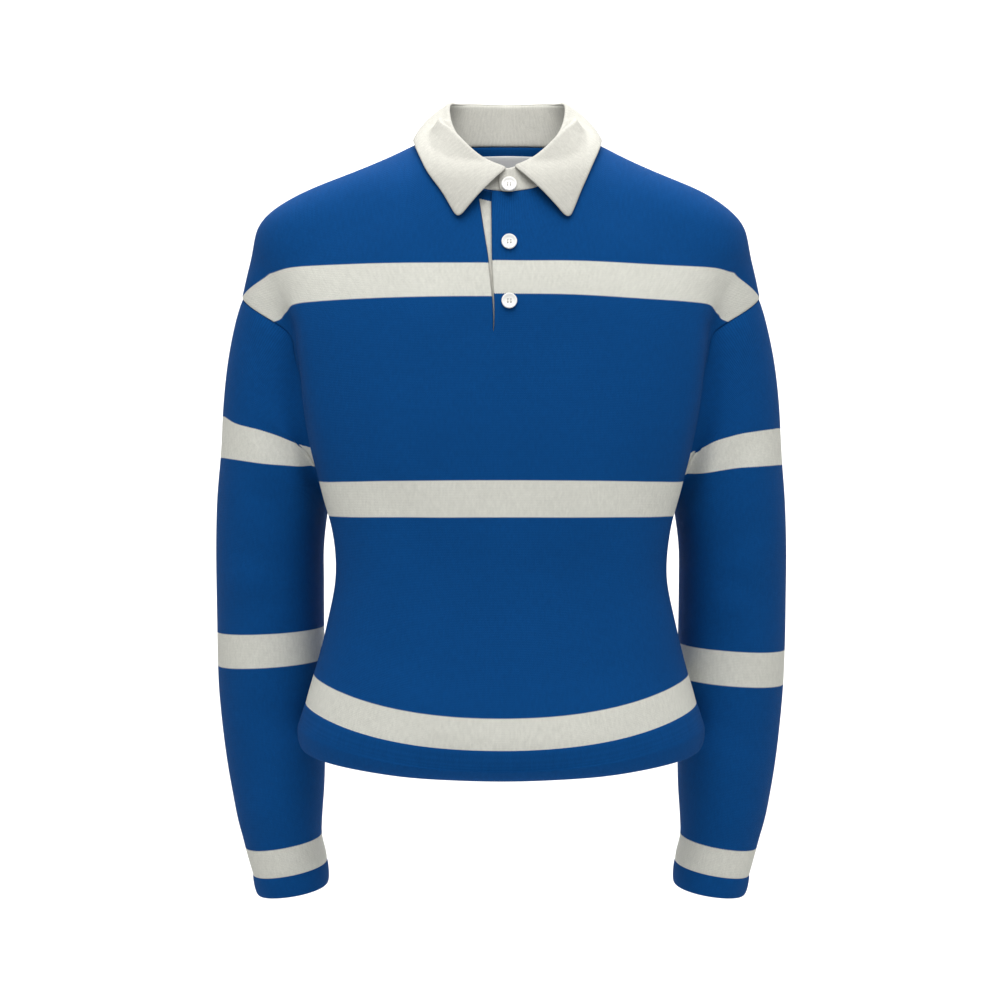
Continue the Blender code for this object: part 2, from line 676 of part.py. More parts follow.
def make_collar(tops):
    # The neckband runs from the wearer's right front round the back to the left front.
    # Its left end lies on top, so turn runs from -180-lap to 180+lap, 0 at the back.
    turn = np.linspace(-180.0 - STAND_LAP, 180.0 + STAND_LAP, STAND_COLUMNS)
    angles = np.where(turn < 0, -180.0 - turn, 180.0 - turn)
    foot = round_collar(angles, "foot")
    seen_turn = np.degrees(np.arctan2(foot[:, 0] - NECK_X, foot[:, 1]))
    foot = foot_on(tops, seen_turn + 360.0 * np.round((turn - seen_turn) / 360.0))
    fold = round_collar(angles, "fold")
    rise = fold - foot
    foot = foot + rise / np.linalg.norm(rise, axis=-1, keepdims=True) * FOOT_LIFT
    climb = np.array([0.0, 0.33, 0.66, 1.0])[:, None, None]
    outer = foot + (fold - foot) * climb
    normal = grid_normals(outer)
    middle = np.array([NECK_X, 0.0, 0.0])
    facing = np.sign(np.sum(normal[..., :2] * (outer - middle)[..., :2], axis=-1, keepdims=True))
    normal = normal * facing
    outer = outer + normal * lapped(turn)[None, :, None]
    wall("collar_stand", outer, outer - normal * COLLAR_WALL, CREAM)

    leaf_turn = np.linspace(-LEAF_START, LEAF_START, LEAF_COLUMNS)
    fold_turn = leaf_turn - LEAF_SET_BACK_LEFT * eased((leaf_turn - 110.0) / 68.0)
    fold = round_collar(np.where(fold_turn < 0, -180.0, 180.0) - fold_turn, "fold")
    edge = round_collar(np.where(leaf_turn < 0, -180.0, 180.0) - leaf_turn, "edge")
    edge[:, 0] += LEAF_TIP_OUT * eased((np.abs(leaf_turn) - 130.0) / 50.0)
    out = fold - np.array([NECK_X, 0.0, 0.0])
    out[:, 2] = 0
    out = out / np.linalg.norm(out, axis=-1, keepdims=True)
    start = fold + out * (COLLAR_WALL + LEAF_OFF_STAND) + np.array([0, 0, LEAF_LIFT])
    fall = np.array([0.0, 0.25, 0.5, 0.75, 1.0])[:, None, None]
    bulge = 4 * fall * (1 - fall) * LEAF_BOW
    edge = settle(edge)
    edge = edge + outward(edge) * (COLLAR_WALL + LEAF_OFF_BODY)
    leaf = start + (edge - start) * fall + (out + np.array([0, 0, 0.4])) * bulge
    leaf = clear_of(leaf, COLLAR_WALL + LEAF_OFF_BODY - 0.2)
    normal = grid_normals(leaf)
    facing = np.sign(np.sum(normal * (out + np.array([0, 0, 0.5])), axis=-1, keepdims=True))
    normal = normal * facing
    wall("collar_leaf", leaf, leaf - normal * COLLAR_WALL, CREAM)


def between_points(grid, rows, columns):
    """Points between those of a grid, at fractional row and column numbers."""
    low_r = np.clip(np.floor(rows).astype(int), 0, grid.shape[0] - 2)
    low_c = np.clip(np.floor(columns).astype(int), 0, grid.shape[1] - 2)
    part_r = (rows - low_r)[:, None, None]
    part_c = (columns - low_c)[None, :, None]
    near = grid[low_r][:, low_c] * (1 - part_c) + grid[low_r][:, low_c + 1] * part_c
    far = grid[low_r + 1][:, low_c] * (1 - part_c) + grid[low_r + 1][:, low_c + 1] * part_c
    return near * (1 - part_r) + far * part_r


def make_label(back_inner):
    """The bare neck label lies on the inner face of the back panel, just under the neckline."""
    top = len(BODY_STEPS) - 1
    middle = HALF_COLUMNS
    half = LABEL_WIDTH / 2 / CHEST_HALF_GIRTH * HALF_COLUMNS
    columns = middle + np.array([-half, -1.0, 0.0, 1.0, half])
    rows = top - np.array(LABEL_STEPS)
    grid = between_points(back_inner, rows, columns)
    away = outward(grid)
    wall("neck_label", grid - away * LABEL_GAP, grid - away * (LABEL_GAP + LABEL_WALL), WHITE)


def make_buttons():
    for name, height in zip(("button_top", "button_middle", "button_low"), BUTTON_HEIGHTS):
        spot = settle(np.array([[NECK_X + BUTTON_ACROSS, -95.0, height]]))[0]
        away = outward(spot[None])[0]
        lift = TOP_BUTTON_LIFT if name == "button_top" else BUTTON_LIFT
        middle = spot + away * (lift + BUTTON_THICK / 2)
        body = bmesh.new()
        bmesh.ops.create_cone(body, cap_ends=True, cap_tris=False, segments=20, radius1=BUTTON_RADIUS * MM,
                              radius2=BUTTON_RADIUS * MM, depth=BUTTON_THICK * MM)
        rims = [edge for edge in body.edges if abs(edge.verts[0].co.z - edge.verts[1].co.z) < 1e-6]
        bmesh.ops.bevel(body, geom=rims, offset=BUTTON_EDGE * MM, offset_type="OFFSET", segments=2,
                        profile=0.5, affect="EDGES", material=-1)
        mesh = bpy.data.meshes.new(name)
        body.to_mesh(mesh)
        body.free()
        mesh.shade_smooth()
        mesh.set_sharp_from_angle(angle=math.radians(50))
        finish(mesh, name, WHITE, BUTTON_ROUGHNESS)
        button = bpy.data.objects.new(name, mesh)
        bpy.context.scene.collection.objects.link(button)
        button.location = middle * MM
        button.rotation_euler = (math.asin(-away[2]) + math.pi / 2, 0.0, math.atan2(away[0], -away[1]))


def main():
    for obj in list(bpy.data.objects):
        bpy.data.objects.remove(obj)
    front_top = make_front()
    back_top, back_inner = make_back()
    make_sleeves()
    make_hem_band()
    make_cuffs()
    placket_end = make_placket()
    make_collar((front_top, placket_end, back_top))
    make_label(back_inner)
    make_buttons()


main()
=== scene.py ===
"""A long-sleeved knitted polo shirt, filled out as if worn: the knit, sewing and light.

Metres, +Z up, front towards -Y, wearer's left towards +X. The shirt's sizes are in
millimetres, as in a cutting room, and become metres when a sheet is laid out.
"""

import math

import bmesh
import bpy
import numpy as np
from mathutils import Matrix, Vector


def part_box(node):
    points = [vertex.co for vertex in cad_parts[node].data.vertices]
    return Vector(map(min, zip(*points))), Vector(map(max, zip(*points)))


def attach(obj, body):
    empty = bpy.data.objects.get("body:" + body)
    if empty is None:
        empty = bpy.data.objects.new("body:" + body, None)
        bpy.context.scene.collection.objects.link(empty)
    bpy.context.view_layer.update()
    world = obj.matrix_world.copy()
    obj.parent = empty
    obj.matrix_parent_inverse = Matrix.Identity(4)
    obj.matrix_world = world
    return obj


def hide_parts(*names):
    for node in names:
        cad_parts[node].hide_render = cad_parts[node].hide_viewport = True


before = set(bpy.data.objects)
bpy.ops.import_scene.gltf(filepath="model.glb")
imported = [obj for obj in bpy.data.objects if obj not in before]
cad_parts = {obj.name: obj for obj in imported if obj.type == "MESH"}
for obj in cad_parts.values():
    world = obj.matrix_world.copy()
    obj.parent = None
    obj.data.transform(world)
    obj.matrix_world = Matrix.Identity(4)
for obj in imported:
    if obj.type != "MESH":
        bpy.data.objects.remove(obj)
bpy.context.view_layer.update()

MM = 0.001

# Sizes of the shirt, in millimetres.
WALL = 2.0  # body and sleeve knit
COLLAR_WALL = 2.2  # flat-knit collar
NECK_X = 6.0  # the neck and placket sit a little to the wearer's left
SHOULDER_TIP = (245.0, 0.0, -136.0)
ARMHOLE_HALF_DEPTH = 58.0
ARMHOLE_POWER = 4.3  # how square the armhole's upper corner is
ARMHOLE_BACKWARD = 8.0  # how far its middle lies behind its two ends
ARM_POWER = 2.1  # how square an arm's section is
SIDE_SEAM_Y = 8.0
BACK_VALLEY_Y = 69.0  # where the back's rows cross from torso to arm
ARM_SWELL = 14.0  # how far rows bow out over the arm and over the shoulder
SHOULDER_SWELL = 18.0
NECK_POINT_SHARE = 4 / 13  # the share of a panel's top edge that is neckline
NECK_SHIFT_FROM = -60.0  # the height from which the neck lies off the middle
NECK_SHIFT_OVER = 70.0
PLACKET_LEFT = -13.5
PLACKET_RIGHT = 14.5
PLACKET_FOOT_ROW = 1.0 + 7.0 / 11.0
PLACKET_GAPE = 10.5  # how wide the opening gapes at the neckline
NECK_SPREAD = 0.4  # how much the front's top row is longer than its chest
CHEST_HALF_GIRTH = 280.0
SLEEVE_GIRTH = 330.0
LEAF_SET_BACK_LEFT = 5.0  # degrees by which the leaf's left end starts short
SEAM_OVERLAP = 0.4  # how far the neckband's foot reaches past the neckline
TIP_ROUNDING = 0.4  # how far a leaf's corner is drawn in to round it
TUCKED_END = 0.5  # how far the cut end of a sheet dips under its band

# The torso at each height: half width, how far the front and back stand out, where it is
# widest, how square its front and back are, and how softly it runs into the arms.
TORSO_COLUMNS = ("z", "half_width", "front", "back", "widest_y", "front_power", "back_power",
                 "blend")
TORSO = (
    (-580, 180, 108, 98, -28, 2.30, 2.10, 1),
    (-562, 184, 124, 106, -29, 2.30, 2.10, 1),
    (-543, 187, 129, 111, -30, 2.30, 2.10, 1),
    (-512, 181, 124, 108, -31, 2.30, 2.10, 1),
    (-474, 170, 115, 101, -34, 2.30, 2.15, 1),
    (-438, 161, 109, 95, -37, 2.30, 2.20, 1),
    (-394, 153, 106, 92, -40, 2.30, 2.25, 2),
    (-350, 157, 108, 94, -42, 2.35, 2.35, 4),
    (-323, 165, 110, 97, -44, 2.40, 2.50, 9),
    (-294, 174, 112, 101, -46, 2.45, 2.70, 12),
    (-232, 185, 114, 108, -50, 2.50, 3.00, 14),
    (-188, 190, 113, 110, -52, 2.50, 3.00, 15),
    (-146, 194, 110, 107, -50, 2.45, 2.90, 18),
    (-113, 205, 104, 102, -36, 2.35, 2.60, 24),
    (-88, 217, 99, 97, -20, 2.25, 2.40, 30),
    (-65, 217, 93, 91, -8, 2.15, 2.20, 34),
    (-37, 187, 84, 83, 0, 2.05, 2.10, 30),
    (-14, 130, 75, 76, 0, 2.00, 2.00, 24),
    (8, 88, 66, 67, 0, 2.00, 2.00, 18),
    (24, 66, 58, 60, 0, 2.00, 2.00, 12),
    (44, 12, 12, 12, 0, 2.00, 2.00, 4),
)

# The arm at each height: where its middle lies, half its width and half its depth.
ARM_COLUMNS = ("z", "middle_x", "half_width", "middle_y", "half_depth")
ARM = (
    (-730, 197, 32.5, 33, 37),
    (-713, 200.5, 34, 34, 38.5),
    (-690, 204.5, 36, 36, 40.5),
    (-672, 208, 38, 38, 42.5),
    (-656, 212.5, 38, 40, 44),
    (-640, 215, 40.5, 42, 47),
    (-610, 217.5, 44.5, 45, 51),
    (-563, 221, 48.7, 47, 55),
    (-517, 223.4, 50.8, 46, 57),
    (-475, 224, 51.4, 43, 58),
    (-410, 224.3, 51.5, 37, 59),
    (-375, 223.8, 51.7, 33, 59),
    (-328, 219.5, 54, 28, 60),
    (-282, 212, 57, 24, 61),
    (-236, 207, 59.5, 20, 61),
    (-201, 203, 59, 16, 61),
    (-156, 195, 57, 9, 60),
    (-134, 190.6, 55, 5, 59),
    (-111, 186, 54, 2, 58),
    (-88, 180, 52.8, 0, 56),
    (-65, 169, 51, 0, 53),
    (-40, 135, 46, 0, 48),
    (-14, 90, 34, 0, 38),
    (8, 55, 24, 0, 28),
    (24, 36, 12, 0, 16),
    (44, 3, 3, 0, 3),
)

# Knitted rows of the two body panels: where each lies at the middle and how far it rises
# at the widest point. 0 is the hem seam, 1 the underarm, 2 the shoulder tip.
BODY_COLUMNS = ("row", "z", "rise")
BODY_ROWS = (
    (-1.0, -573, 16),
    (-0.5, -559, 23),
    (0.0, -545, 30),
    (0.15, -508, 28),
    (0.45, -445, 12),
    (0.75, -379, 2),
    (1.0, -321, -2),
    (1.32, -256, -4),
    (1.0 + 7.0 / 11.0, -178, -5),
    (1.82, -143, -4),
    (2.0, -108, 0),
)

# Rings of a sleeve: height at the outer and the inner side, and how late the ring drops.
SLEEVE_COLUMNS = ("ring", "outer_z", "inner_z", "lateness")
SLEEVE = (
    (0.20, -247.5, -334, 2.9),
    (0.27, -287, -346, 9.0),
    (0.36, -340, -376, 3.0),
    (0.46, -400, -408, 1.2),
    (0.57, -460, -455, 1.0),
    (0.63, -492, -486, 1.0),
    (0.75, -560, -551, 1.0),
    (0.85, -618, -607, 1.0),
    (0.95, -667, -656, 1.0),
    (1.00, -690.5, -679, 1.0),
    (1.04, -709, -700, 1.0),
)

# The shoulder line from the neck point to the shoulder tip, seen from the front.
SHOULDER_LINE = (
    (88, 8), (105, -3), (130, -14), (163, -26), (189, -37), (205, -48),
    (221, -65), (233, -88), (240, -111), (245, -136),
)

# Half the collar, by angle round the neck from the middle of the front (0) to the middle
# of the back (180): its foot on the neckline, its fold and the edge of its leaf.
COLLAR_COLUMNS = ("angle", "foot_x", "foot_y", "foot_z", "fold_x", "fold_y", "fold_z",
                  "edge_x", "edge_y", "edge_z")
COLLAR = (
    (0, 0, -89, -48, 0, -88, -27, 49, -105, -73),
    (20, 27, -84, -43, 17, -76, -18, 62, -88, -50),
    (45, 54, -66, -28, 34, -53, -3, 73, -62, -32),
    (70, 72, -34, -9, 50, -20, 21, 81, -35, -10),
    (100, 78, 5, 6, 56, 14, 50, 86, 0, 13),
    (135, 58, 45, 14, 44, 49, 59, 67, 54, 12),
    (180, 0, 62, 18, 0, 65, 61, 0, 82, 14),
)


def flowing(at, places, values):
    """Read a smooth curve through a table's values at the given places."""
    places = np.asarray(places, float)
    values = np.asarray(values, float)
    at = np.clip(np.asarray(at, float), places[0], places[-1])
    slopes = np.gradient(values, places)
    low = np.clip(np.searchsorted(places, at, side="right") - 1, 0, len(places) - 2)
    width = places[low + 1] - places[low]
    t = (at - places[low]) / width
    rise = values[low + 1] - values[low]
    bend_low = slopes[low] * width - rise
    bend_high = rise - slopes[low + 1] * width
    return values[low] + t * rise + t * (1 - t) * ((1 - t) * bend_low + t * bend_high)


def reader(table, columns):
    """Return a function that reads a named column of a table at any place in it."""
    rows = np.array(sorted(table), float)

    def read(at, name):
        return flowing(at, rows[:, 0], rows[:, columns.index(name)])

    return read


torso_at = reader(TORSO, TORSO_COLUMNS)
arm_at = reader(ARM, ARM_COLUMNS)
body_row_at = reader(BODY_ROWS, BODY_COLUMNS)
sleeve_at = reader(SLEEVE, SLEEVE_COLUMNS)
collar_at = reader(COLLAR, COLLAR_COLUMNS)


def eased(t):
    """A share from 0 to 1 that starts and ends softly."""
    t = np.clip(t, 0.0, 1.0)
    return t * t * (3 - 2 * t)


def unit(vectors):
    """The same directions, one long."""
    return vectors / np.linalg.norm(vectors, axis=-1, keepdims=True)


def oval_distance(across, along, half_width, half_depth, power):
    """How far a point lies outside an oval, nearly."""
    u = np.abs(across) / half_width
    v = np.abs(along) / half_depth
    size = np.maximum(u ** power + v ** power, 1e-9) ** (1 / power)
    steepness = size ** (1 - power) * np.hypot(u ** (power - 1) / half_width,
                                               v ** (power - 1) / half_depth)
    return (size - 1) / np.maximum(steepness, 1e-6)


def form(points):
    """How far points lie outside the filled-out shirt: torso and arms run into each other."""
    y, z = points[..., 1], points[..., 2]
    x = points[..., 0] - NECK_X * eased((z - NECK_SHIFT_FROM) / NECK_SHIFT_OVER)
    widest = torso_at(z, "widest_y")
    ahead = y < widest
    depth = np.where(ahead, widest + torso_at(z, "front"), torso_at(z, "back") - widest)
    power = np.where(ahead, torso_at(z, "front_power"), torso_at(z, "back_power"))
    torso = oval_distance(x, y - widest, torso_at(z, "half_width"), depth, power)
    arm = oval_distance(np.abs(x) - arm_at(z, "middle_x"), y - arm_at(z, "middle_y"),
                        arm_at(z, "half_width"), arm_at(z, "half_depth"), ARM_POWER)
    blend = torso_at(z, "blend")
    share = np.clip(0.5 + 0.5 * (arm - torso) / blend, 0, 1)
    return arm + (torso - arm) * share - blend * share * (1 - share)


def slope_of_form(points, step=0.4):
    """The direction in which the distance from the form grows, and how fast."""
    slope = np.empty_like(points)
    for axis in range(3):
        nudge = np.zeros(3)
        nudge[axis] = step
        slope[..., axis] = (form(points + nudge) - form(points - nudge)) / (2 * step)
    return slope


def outward(points):
    """Unit directions that point out of the cloth."""
    return unit(slope_of_form(points))


def settle(points, rounds=9, longest=14.0):
    """Bring points onto the form's surface."""
    points = np.array(points, float)
    for _ in range(rounds):
        slope = slope_of_form(points)
        steep = np.sum(slope * slope, axis=-1, keepdims=True)
        move = -form(points)[..., None] * slope / np.maximum(steep, 0.05)
        length = np.linalg.norm(move, axis=-1, keepdims=True)
        points = points + move * np.minimum(1.0, longest / np.maximum(length, 1e-9))
    return points


def spaced(path, shares):
    """Points at the given shares of a path's length."""
    run = np.concatenate([[0.0], np.cumsum(np.linalg.norm(np.diff(path, axis=0), axis=1))])
    at = np.asarray(shares) * run[-1]
    return np.stack([np.interp(at, run, path[:, k]) for k in range(3)], axis=-1)


def armhole(angle, face):
    """The armhole seam on one face: angle 0 at the shoulder tip and pi under the arm."""
    drop = (1 - np.cos(angle)) / 2
    tip, under = SHOULDER_TIP, level_path(1, 1.0)[-1]
    x = under[0] + (tip[0] - under[0]) * (1 - drop) ** ARMHOLE_POWER
    middle_y = tip[1] + (under[1] - tip[1]) * drop + ARMHOLE_BACKWARD * np.sin(angle)
    y = middle_y - face * ARMHOLE_HALF_DEPTH * np.sin(angle)
    z = tip[2] + (under[2] - tip[2]) * drop
    return np.stack([x, y, z], axis=-1)


def level_path(face, row, end_y=SIDE_SEAM_Y, count=120):
    """Half a knitted row round the torso, from the middle of the front or back to a given y."""
    middle = body_row_at(row, "z")
    rise = body_row_at(row, "rise")
    widest, back = torso_at(middle, "widest_y"), torso_at(middle, "back")
    reach = max(0.0, end_y - widest) / (back - widest)
    turn = math.asin(reach ** (torso_at(middle, "back_power") / 2))
    seam_angle = math.pi / 2 + turn
    start = 0.0 if face > 0 else math.pi
    angle = np.linspace(start, seam_angle, count)
    z = middle + rise * np.sin(angle) ** 1.9
    widest = torso_at(z, "widest_y")
    ahead = angle < math.pi / 2
    power = np.where(ahead, torso_at(z, "front_power"), torso_at(z, "back_power"))
    x = torso_at(z, "half_width") * np.abs(np.sin(angle)) ** (2 / power)
    reach = np.abs(np.cos(angle)) ** (2 / power)
    y = np.where(ahead, widest - (widest + torso_at(z, "front")) * reach,
                 widest + (torso_at(z, "back") - widest) * reach)
    return np.stack([x, y, z], axis=-1)


def half_row(face, row, shares):
    """Points of half a knitted row, from the middle (0) to the panel's edge (1), near the form."""
    if row <= 1.0:
        return spaced(level_path(face, row), shares)
    if row <= 2.0:
        part_up = eased((row - 1.0) / 0.12)
        valley_y = torso_at(body_row_at(row, "z"), "widest_y") if face > 0 else BACK_VALLEY_Y
        path = level_path(face, row, SIDE_SEAM_Y + (valley_y - SIDE_SEAM_Y) * part_up)
        edge = armhole(math.pi * (2.0 - row), face)
        along = np.linspace(0, 1, 40)[1:, None]
        onto_arm = path[-1] + (edge - path[-1]) * along
        swell = ARM_SWELL * eased((row - 1.5) / 0.5)
        onto_arm[:, 1:2] -= face * swell * np.sqrt(np.maximum(0.0, 4 * along * (1 - along)))
        return spaced(np.concatenate([path, onto_arm]), shares)
    low = half_row(face, 2.0, shares)
    climb = row - 2.0
    points = low * (1 - climb) + panel_top(face, shares) * climb
    points[:, 1] -= face * SHOULDER_SWELL * 4 * climb * (1 - climb) * (1 - np.asarray(shares) ** 4)
    return points


def neckline(face, share):
    """The panel's neckline from its middle (0) to the neck point on the shoulder (1)."""
    angle = 100.0 * share if face > 0 else 180.0 - 80.0 * share
    return np.stack([collar_at(angle, "foot_x"), collar_at(angle, "foot_y"),
                     collar_at(angle, "foot_z")], axis=-1)


def panel_top(face, shares):
    """The top of a panel: the neckline, then the shoulder line out to the tip."""
    shares = np.asarray(shares, float)
    neck = neckline(face, np.minimum(shares / NECK_POINT_SHARE, 1.0))
    line = np.array(SHOULDER_LINE, float)
    dense = np.linspace(0, len(line) - 1, 120)
    order = np.arange(len(line))
    path = np.stack([flowing(dense, order, line[:, 0]), np.zeros(len(dense)),
                     flowing(dense, order, line[:, 1])], axis=-1)
    path[0] = neckline(face, np.array(1.0))
    path[:, 1] = path[0, 1] * (1 - dense / dense[-1])
    out = spaced(path, np.clip((shares - NECK_POINT_SHARE) / (1 - NECK_POINT_SHARE), 0, 1))
    return np.where((shares > NECK_POINT_SHARE)[:, None], out, neck)


def panel(face, shares, rows):
    """Points of a body panel at signed shares across (-1 to 1) and at knitted rows.

    shares has one list of columns for each row, or one for all rows.
    """
    shares = np.broadcast_to(np.asarray(shares, float), (len(rows), np.shape(shares)[-1]))
    grid = np.empty(shares.shape + (3,))
    for k, row in enumerate(rows):
        points = half_row(face, row, np.abs(shares[k]))
        points[:, 0] *= np.sign(shares[k]) + (shares[k] == 0)
        nearness = eased((1 - np.abs(shares[k])) / (1 - NECK_POINT_SHARE))
        off_middle = NECK_X * np.clip((row - 1.2) / 0.6, 0, 1) * nearness
        points[:, 0] += off_middle
        grid[k] = points
    return settle(grid)


def sleeve_ring(angles, ring):
    """Points of the wearer's left sleeve round one ring, near the form; angle 0 is outermost."""
    outer, inner = sleeve_at(ring, "outer_z"), sleeve_at(ring, "inner_z")
    drop = ((1 - np.cos(angles)) / 2) ** sleeve_at(ring, "lateness")
    z = outer + (inner - outer) * drop
    x = arm_at(z, "middle_x") + arm_at(z, "half_width") * np.cos(angles)
    y = arm_at(z, "middle_y") - arm_at(z, "half_depth") * np.sin(angles)
    return np.stack([x, y, z], axis=-1)


def sleeve(angles, rings):
    """Points of the wearer's left sleeve, from the armhole (ring 0) to the cuff (ring 1)."""
    angles = np.asarray(angles, float)
    seam = np.where((angles <= math.pi)[:, None], armhole(angles, 1),
                    armhole(2 * math.pi - angles, -1))
    first = SLEEVE[0][0]
    grid = np.empty((len(rings), len(angles), 3))
    for k, ring in enumerate(rings):
        if ring >= first:
            grid[k] = sleeve_ring(angles, ring)
        else:
            share = ring / first
            grid[k] = seam * (1 - share) + sleeve_ring(angles, first) * share
    return settle(grid)


def round_collar(angles, which):
    """Points of the collar's foot, fold or edge at signed angles, the wearer's left positive."""
    turn = (np.asarray(angles, float) + 180.0) % 360.0 - 180.0
    side = np.where(turn < 0, -1.0, 1.0)
    at = np.abs(turn)
    return np.stack([NECK_X + side * collar_at(at, which + "_x"), collar_at(at, which + "_y"),
                     collar_at(at, which + "_z")], axis=-1)


def clear_of(points, height):
    """Move points out of the form until they stand at least so high above it."""
    for _ in range(4):
        short = np.maximum(0.0, height - form(points))[..., None]
        points = points + outward(points) * short
    return points


def grid_normals(grid):
    """Unit normals of a grid of points, from its neighbours."""
    down = np.gradient(grid, axis=0)
    across = np.gradient(grid, axis=1)
    return unit(np.cross(across, down))


def lapped(angles, spread=26.0, step=1.6):
    """How far the neckband's two ends lie over (+) or under (-) each other."""
    ends = np.clip((np.abs(angles) - (180.0 - spread)) / spread, 0, 1)
    return np.sign(angles) * eased(ends) * step


def turn_round_neck(points):
    """Signed angle of points round the neck, 0 at the back and positive on the wearer's left."""
    return np.degrees(np.arctan2(points[:, 0] - NECK_X, points[:, 1]))


def mirrored(points):
    """The same points on the wearer's right side."""
    return points * np.array([-1.0, 1.0, 1.0])


# ---- creases

# Soft creases of the worn cloth, on its front and its back. Each runs between two places
# given across and up, in millimetres, then its bow, half of its width and its depth. Body
# and sleeves share them, so a crease crosses a seam whole.
FRONT_CREASES = (
    (-203, -150, -188, -232, 3, 8, 3.6), (-189, -222, -172, -335, 2, 9, 3.4),
    (-214, -152, -182, -178, 3, 8, 1.5), (-172, -275, -150, -345, 3, 13, 1.2),
    (-216, -256, -194, -298, 2, 5, 1.8), (-150, -100, -96, -60, 3, 12, 0.8),
    (-120, -300, -60, -392, 6, 16, 0.9), (-110, -455, -40, -500, 4, 15, 0.8),
    (-226, -258, -196, -300, 3, 8, 2.6), (-238, -316, -196, -352, 4, 11, 1.6),
    (-254, -372, -206, -400, 3, 11, 1.4), (-206, -416, -258, -440, -3, 11, 1.3),
    (-250, -520, -200, -548, 4, 12, 1.1), (-196, -588, -246, -606, -3, 12, 1.0),
    (-238, -640, -190, -660, 3, 10, 1.0), (204, -154, 190, -236, -3, 8, 3.5),
    (191, -226, 173, -335, -2, 9, 3.3), (216, -154, 180, -180, -3, 8, 1.4),
    (176, -262, 150, -350, -3, 13, 1.3), (152, -96, 92, -62, -3, 12, 0.8),
    (128, -330, 66, -420, -5, 17, 0.9), (120, -470, 54, -505, -4, 15, 0.8),
    (244, -262, 202, -322, -4, 10, 1.7), (252, -350, 204, -380, -3, 11, 1.5),
    (206, -400, 256, -428, 3, 11, 1.3), (248, -440, 200, -462, -4, 12, 1.1),
    (198, -544, 248, -566, 3, 12, 1.1), (240, -604, 192, -632, -3, 10, 1.1),
)
BACK_CREASES = (
    (-190, -160, -120, -215, 6, 14, 2.4), (-186, -205, -130, -300, 5, 13, 1.8),
    (192, -158, 118, -210, -6, 14, 2.3), (184, -210, 128, -310, -5, 13, 1.7),
    (-90, -330, 20, -345, 5, 16, 1.2), (-30, -372, 96, -356, -5, 15, 1.1),
    (-110, -420, 10, -432, 5, 17, 0.9), (0, -60, 4, -150, 6, 18, 0.7),
    (262, -250, 210, -300, 5, 11, 2.0), (254, -345, 196, -378, 4, 11, 1.8),
    (250, -392, 192, -412, 4, 10, 2.0), (196, -440, 258, -462, -3, 11, 1.4),
    (252, -500, 200, -536, 4, 12, 1.1), (192, -590, 240, -612, -3, 11, 1.1),
    (-260, -262, -206, -304, -5, 12, 1.8), (-252, -352, -198, -372, -4, 11, 1.9),
    (-248, -398, -194, -424, -4, 10, 1.8), (-198, -452, -256, -470, 3, 11, 1.3),
    (-250, -512, -202, -544, -4, 12, 1.1), (-194, -600, -240, -624, 3, 11, 1.0),
)
RIDGE_OFF = 2.1  # how many widths from a trough the cloth stands up beside it
RIDGE_SHARE = 0.45  # and how high, as a share of the trough's depth
UNEVEN_HEIGHT = 0.35
UNEVEN_SIZE = 44.0


def worn(grid):
    """Lay the creases and a slight unevenness into points of the cloth."""
    away = outward(grid)
    lift = np.zeros(grid.shape[:-1])
    for table, side in ((FRONT_CREASES, -1.0), (BACK_CREASES, 1.0)):
        shown = eased((away[..., 1] * side + 0.25) / 0.5)
        for a_x, a_z, b_x, b_z, bow, width, depth in table:
            run = np.array([b_x - a_x, b_z - a_z], float)
            length = np.hypot(*run)
            run /= length
            dx, dz = grid[..., 0] - a_x, grid[..., 2] - a_z
            along = (dx * run[0] + dz * run[1]) / length
            off = dx * -run[1] + dz * run[0] - bow * 4 * along * (1 - along)
            fade = eased((along + 0.2) / 0.5) * eased((1.2 - along) / 0.5)
            trough = np.exp(-(off / width) ** 2)
            ridges = np.exp(-((np.abs(off) - RIDGE_OFF * width) / width) ** 2)
            lift -= depth * (trough - RIDGE_SHARE * ridges) * fade * shown
    x, y, z = (grid[..., axis] / UNEVEN_SIZE for axis in range(3))
    broad = np.sin(1.9 * x + 0.7 * z + 0.4) * np.sin(0.8 * z - 1.3 * y + 0.8)
    fine = 0.6 * np.sin(3.1 * x - 1.7 * z + 1.2) * np.sin(1.2 * z + 2.3 * y + 0.4)
    lift += UNEVEN_HEIGHT * (broad + fine)
    return grid + away * lift[..., None]


# ---- finishes

# The knit, beside its colours: how its stitches stray, and how much darker or lighter the cloth
# runs from place to place, along its wales and from yarn to yarn; and the painted shade in the
# grooves between stitches, with painted light on the stitches' tops.
KNIT_SHEEN = {"Specular IOR Level": 0.05, "Sheen Weight": 0.015, "Sheen Roughness": 0.45}
WALE_STRAY = 0.0003  # metres
LEG_SLANT = 0.9
LOOP_LOW = 0.55
DYE_RANGE = (0.92, 1.08)
STREAK_RANGE = (0.86, 1.14)
STREAK_SCALE = (2.6, 0.8, 1.0)
YARN_RANGE = (0.80, 1.20)
GROOVE_SHADE_RANGE = (0.74, 1.10)
FUZZ = 0.35


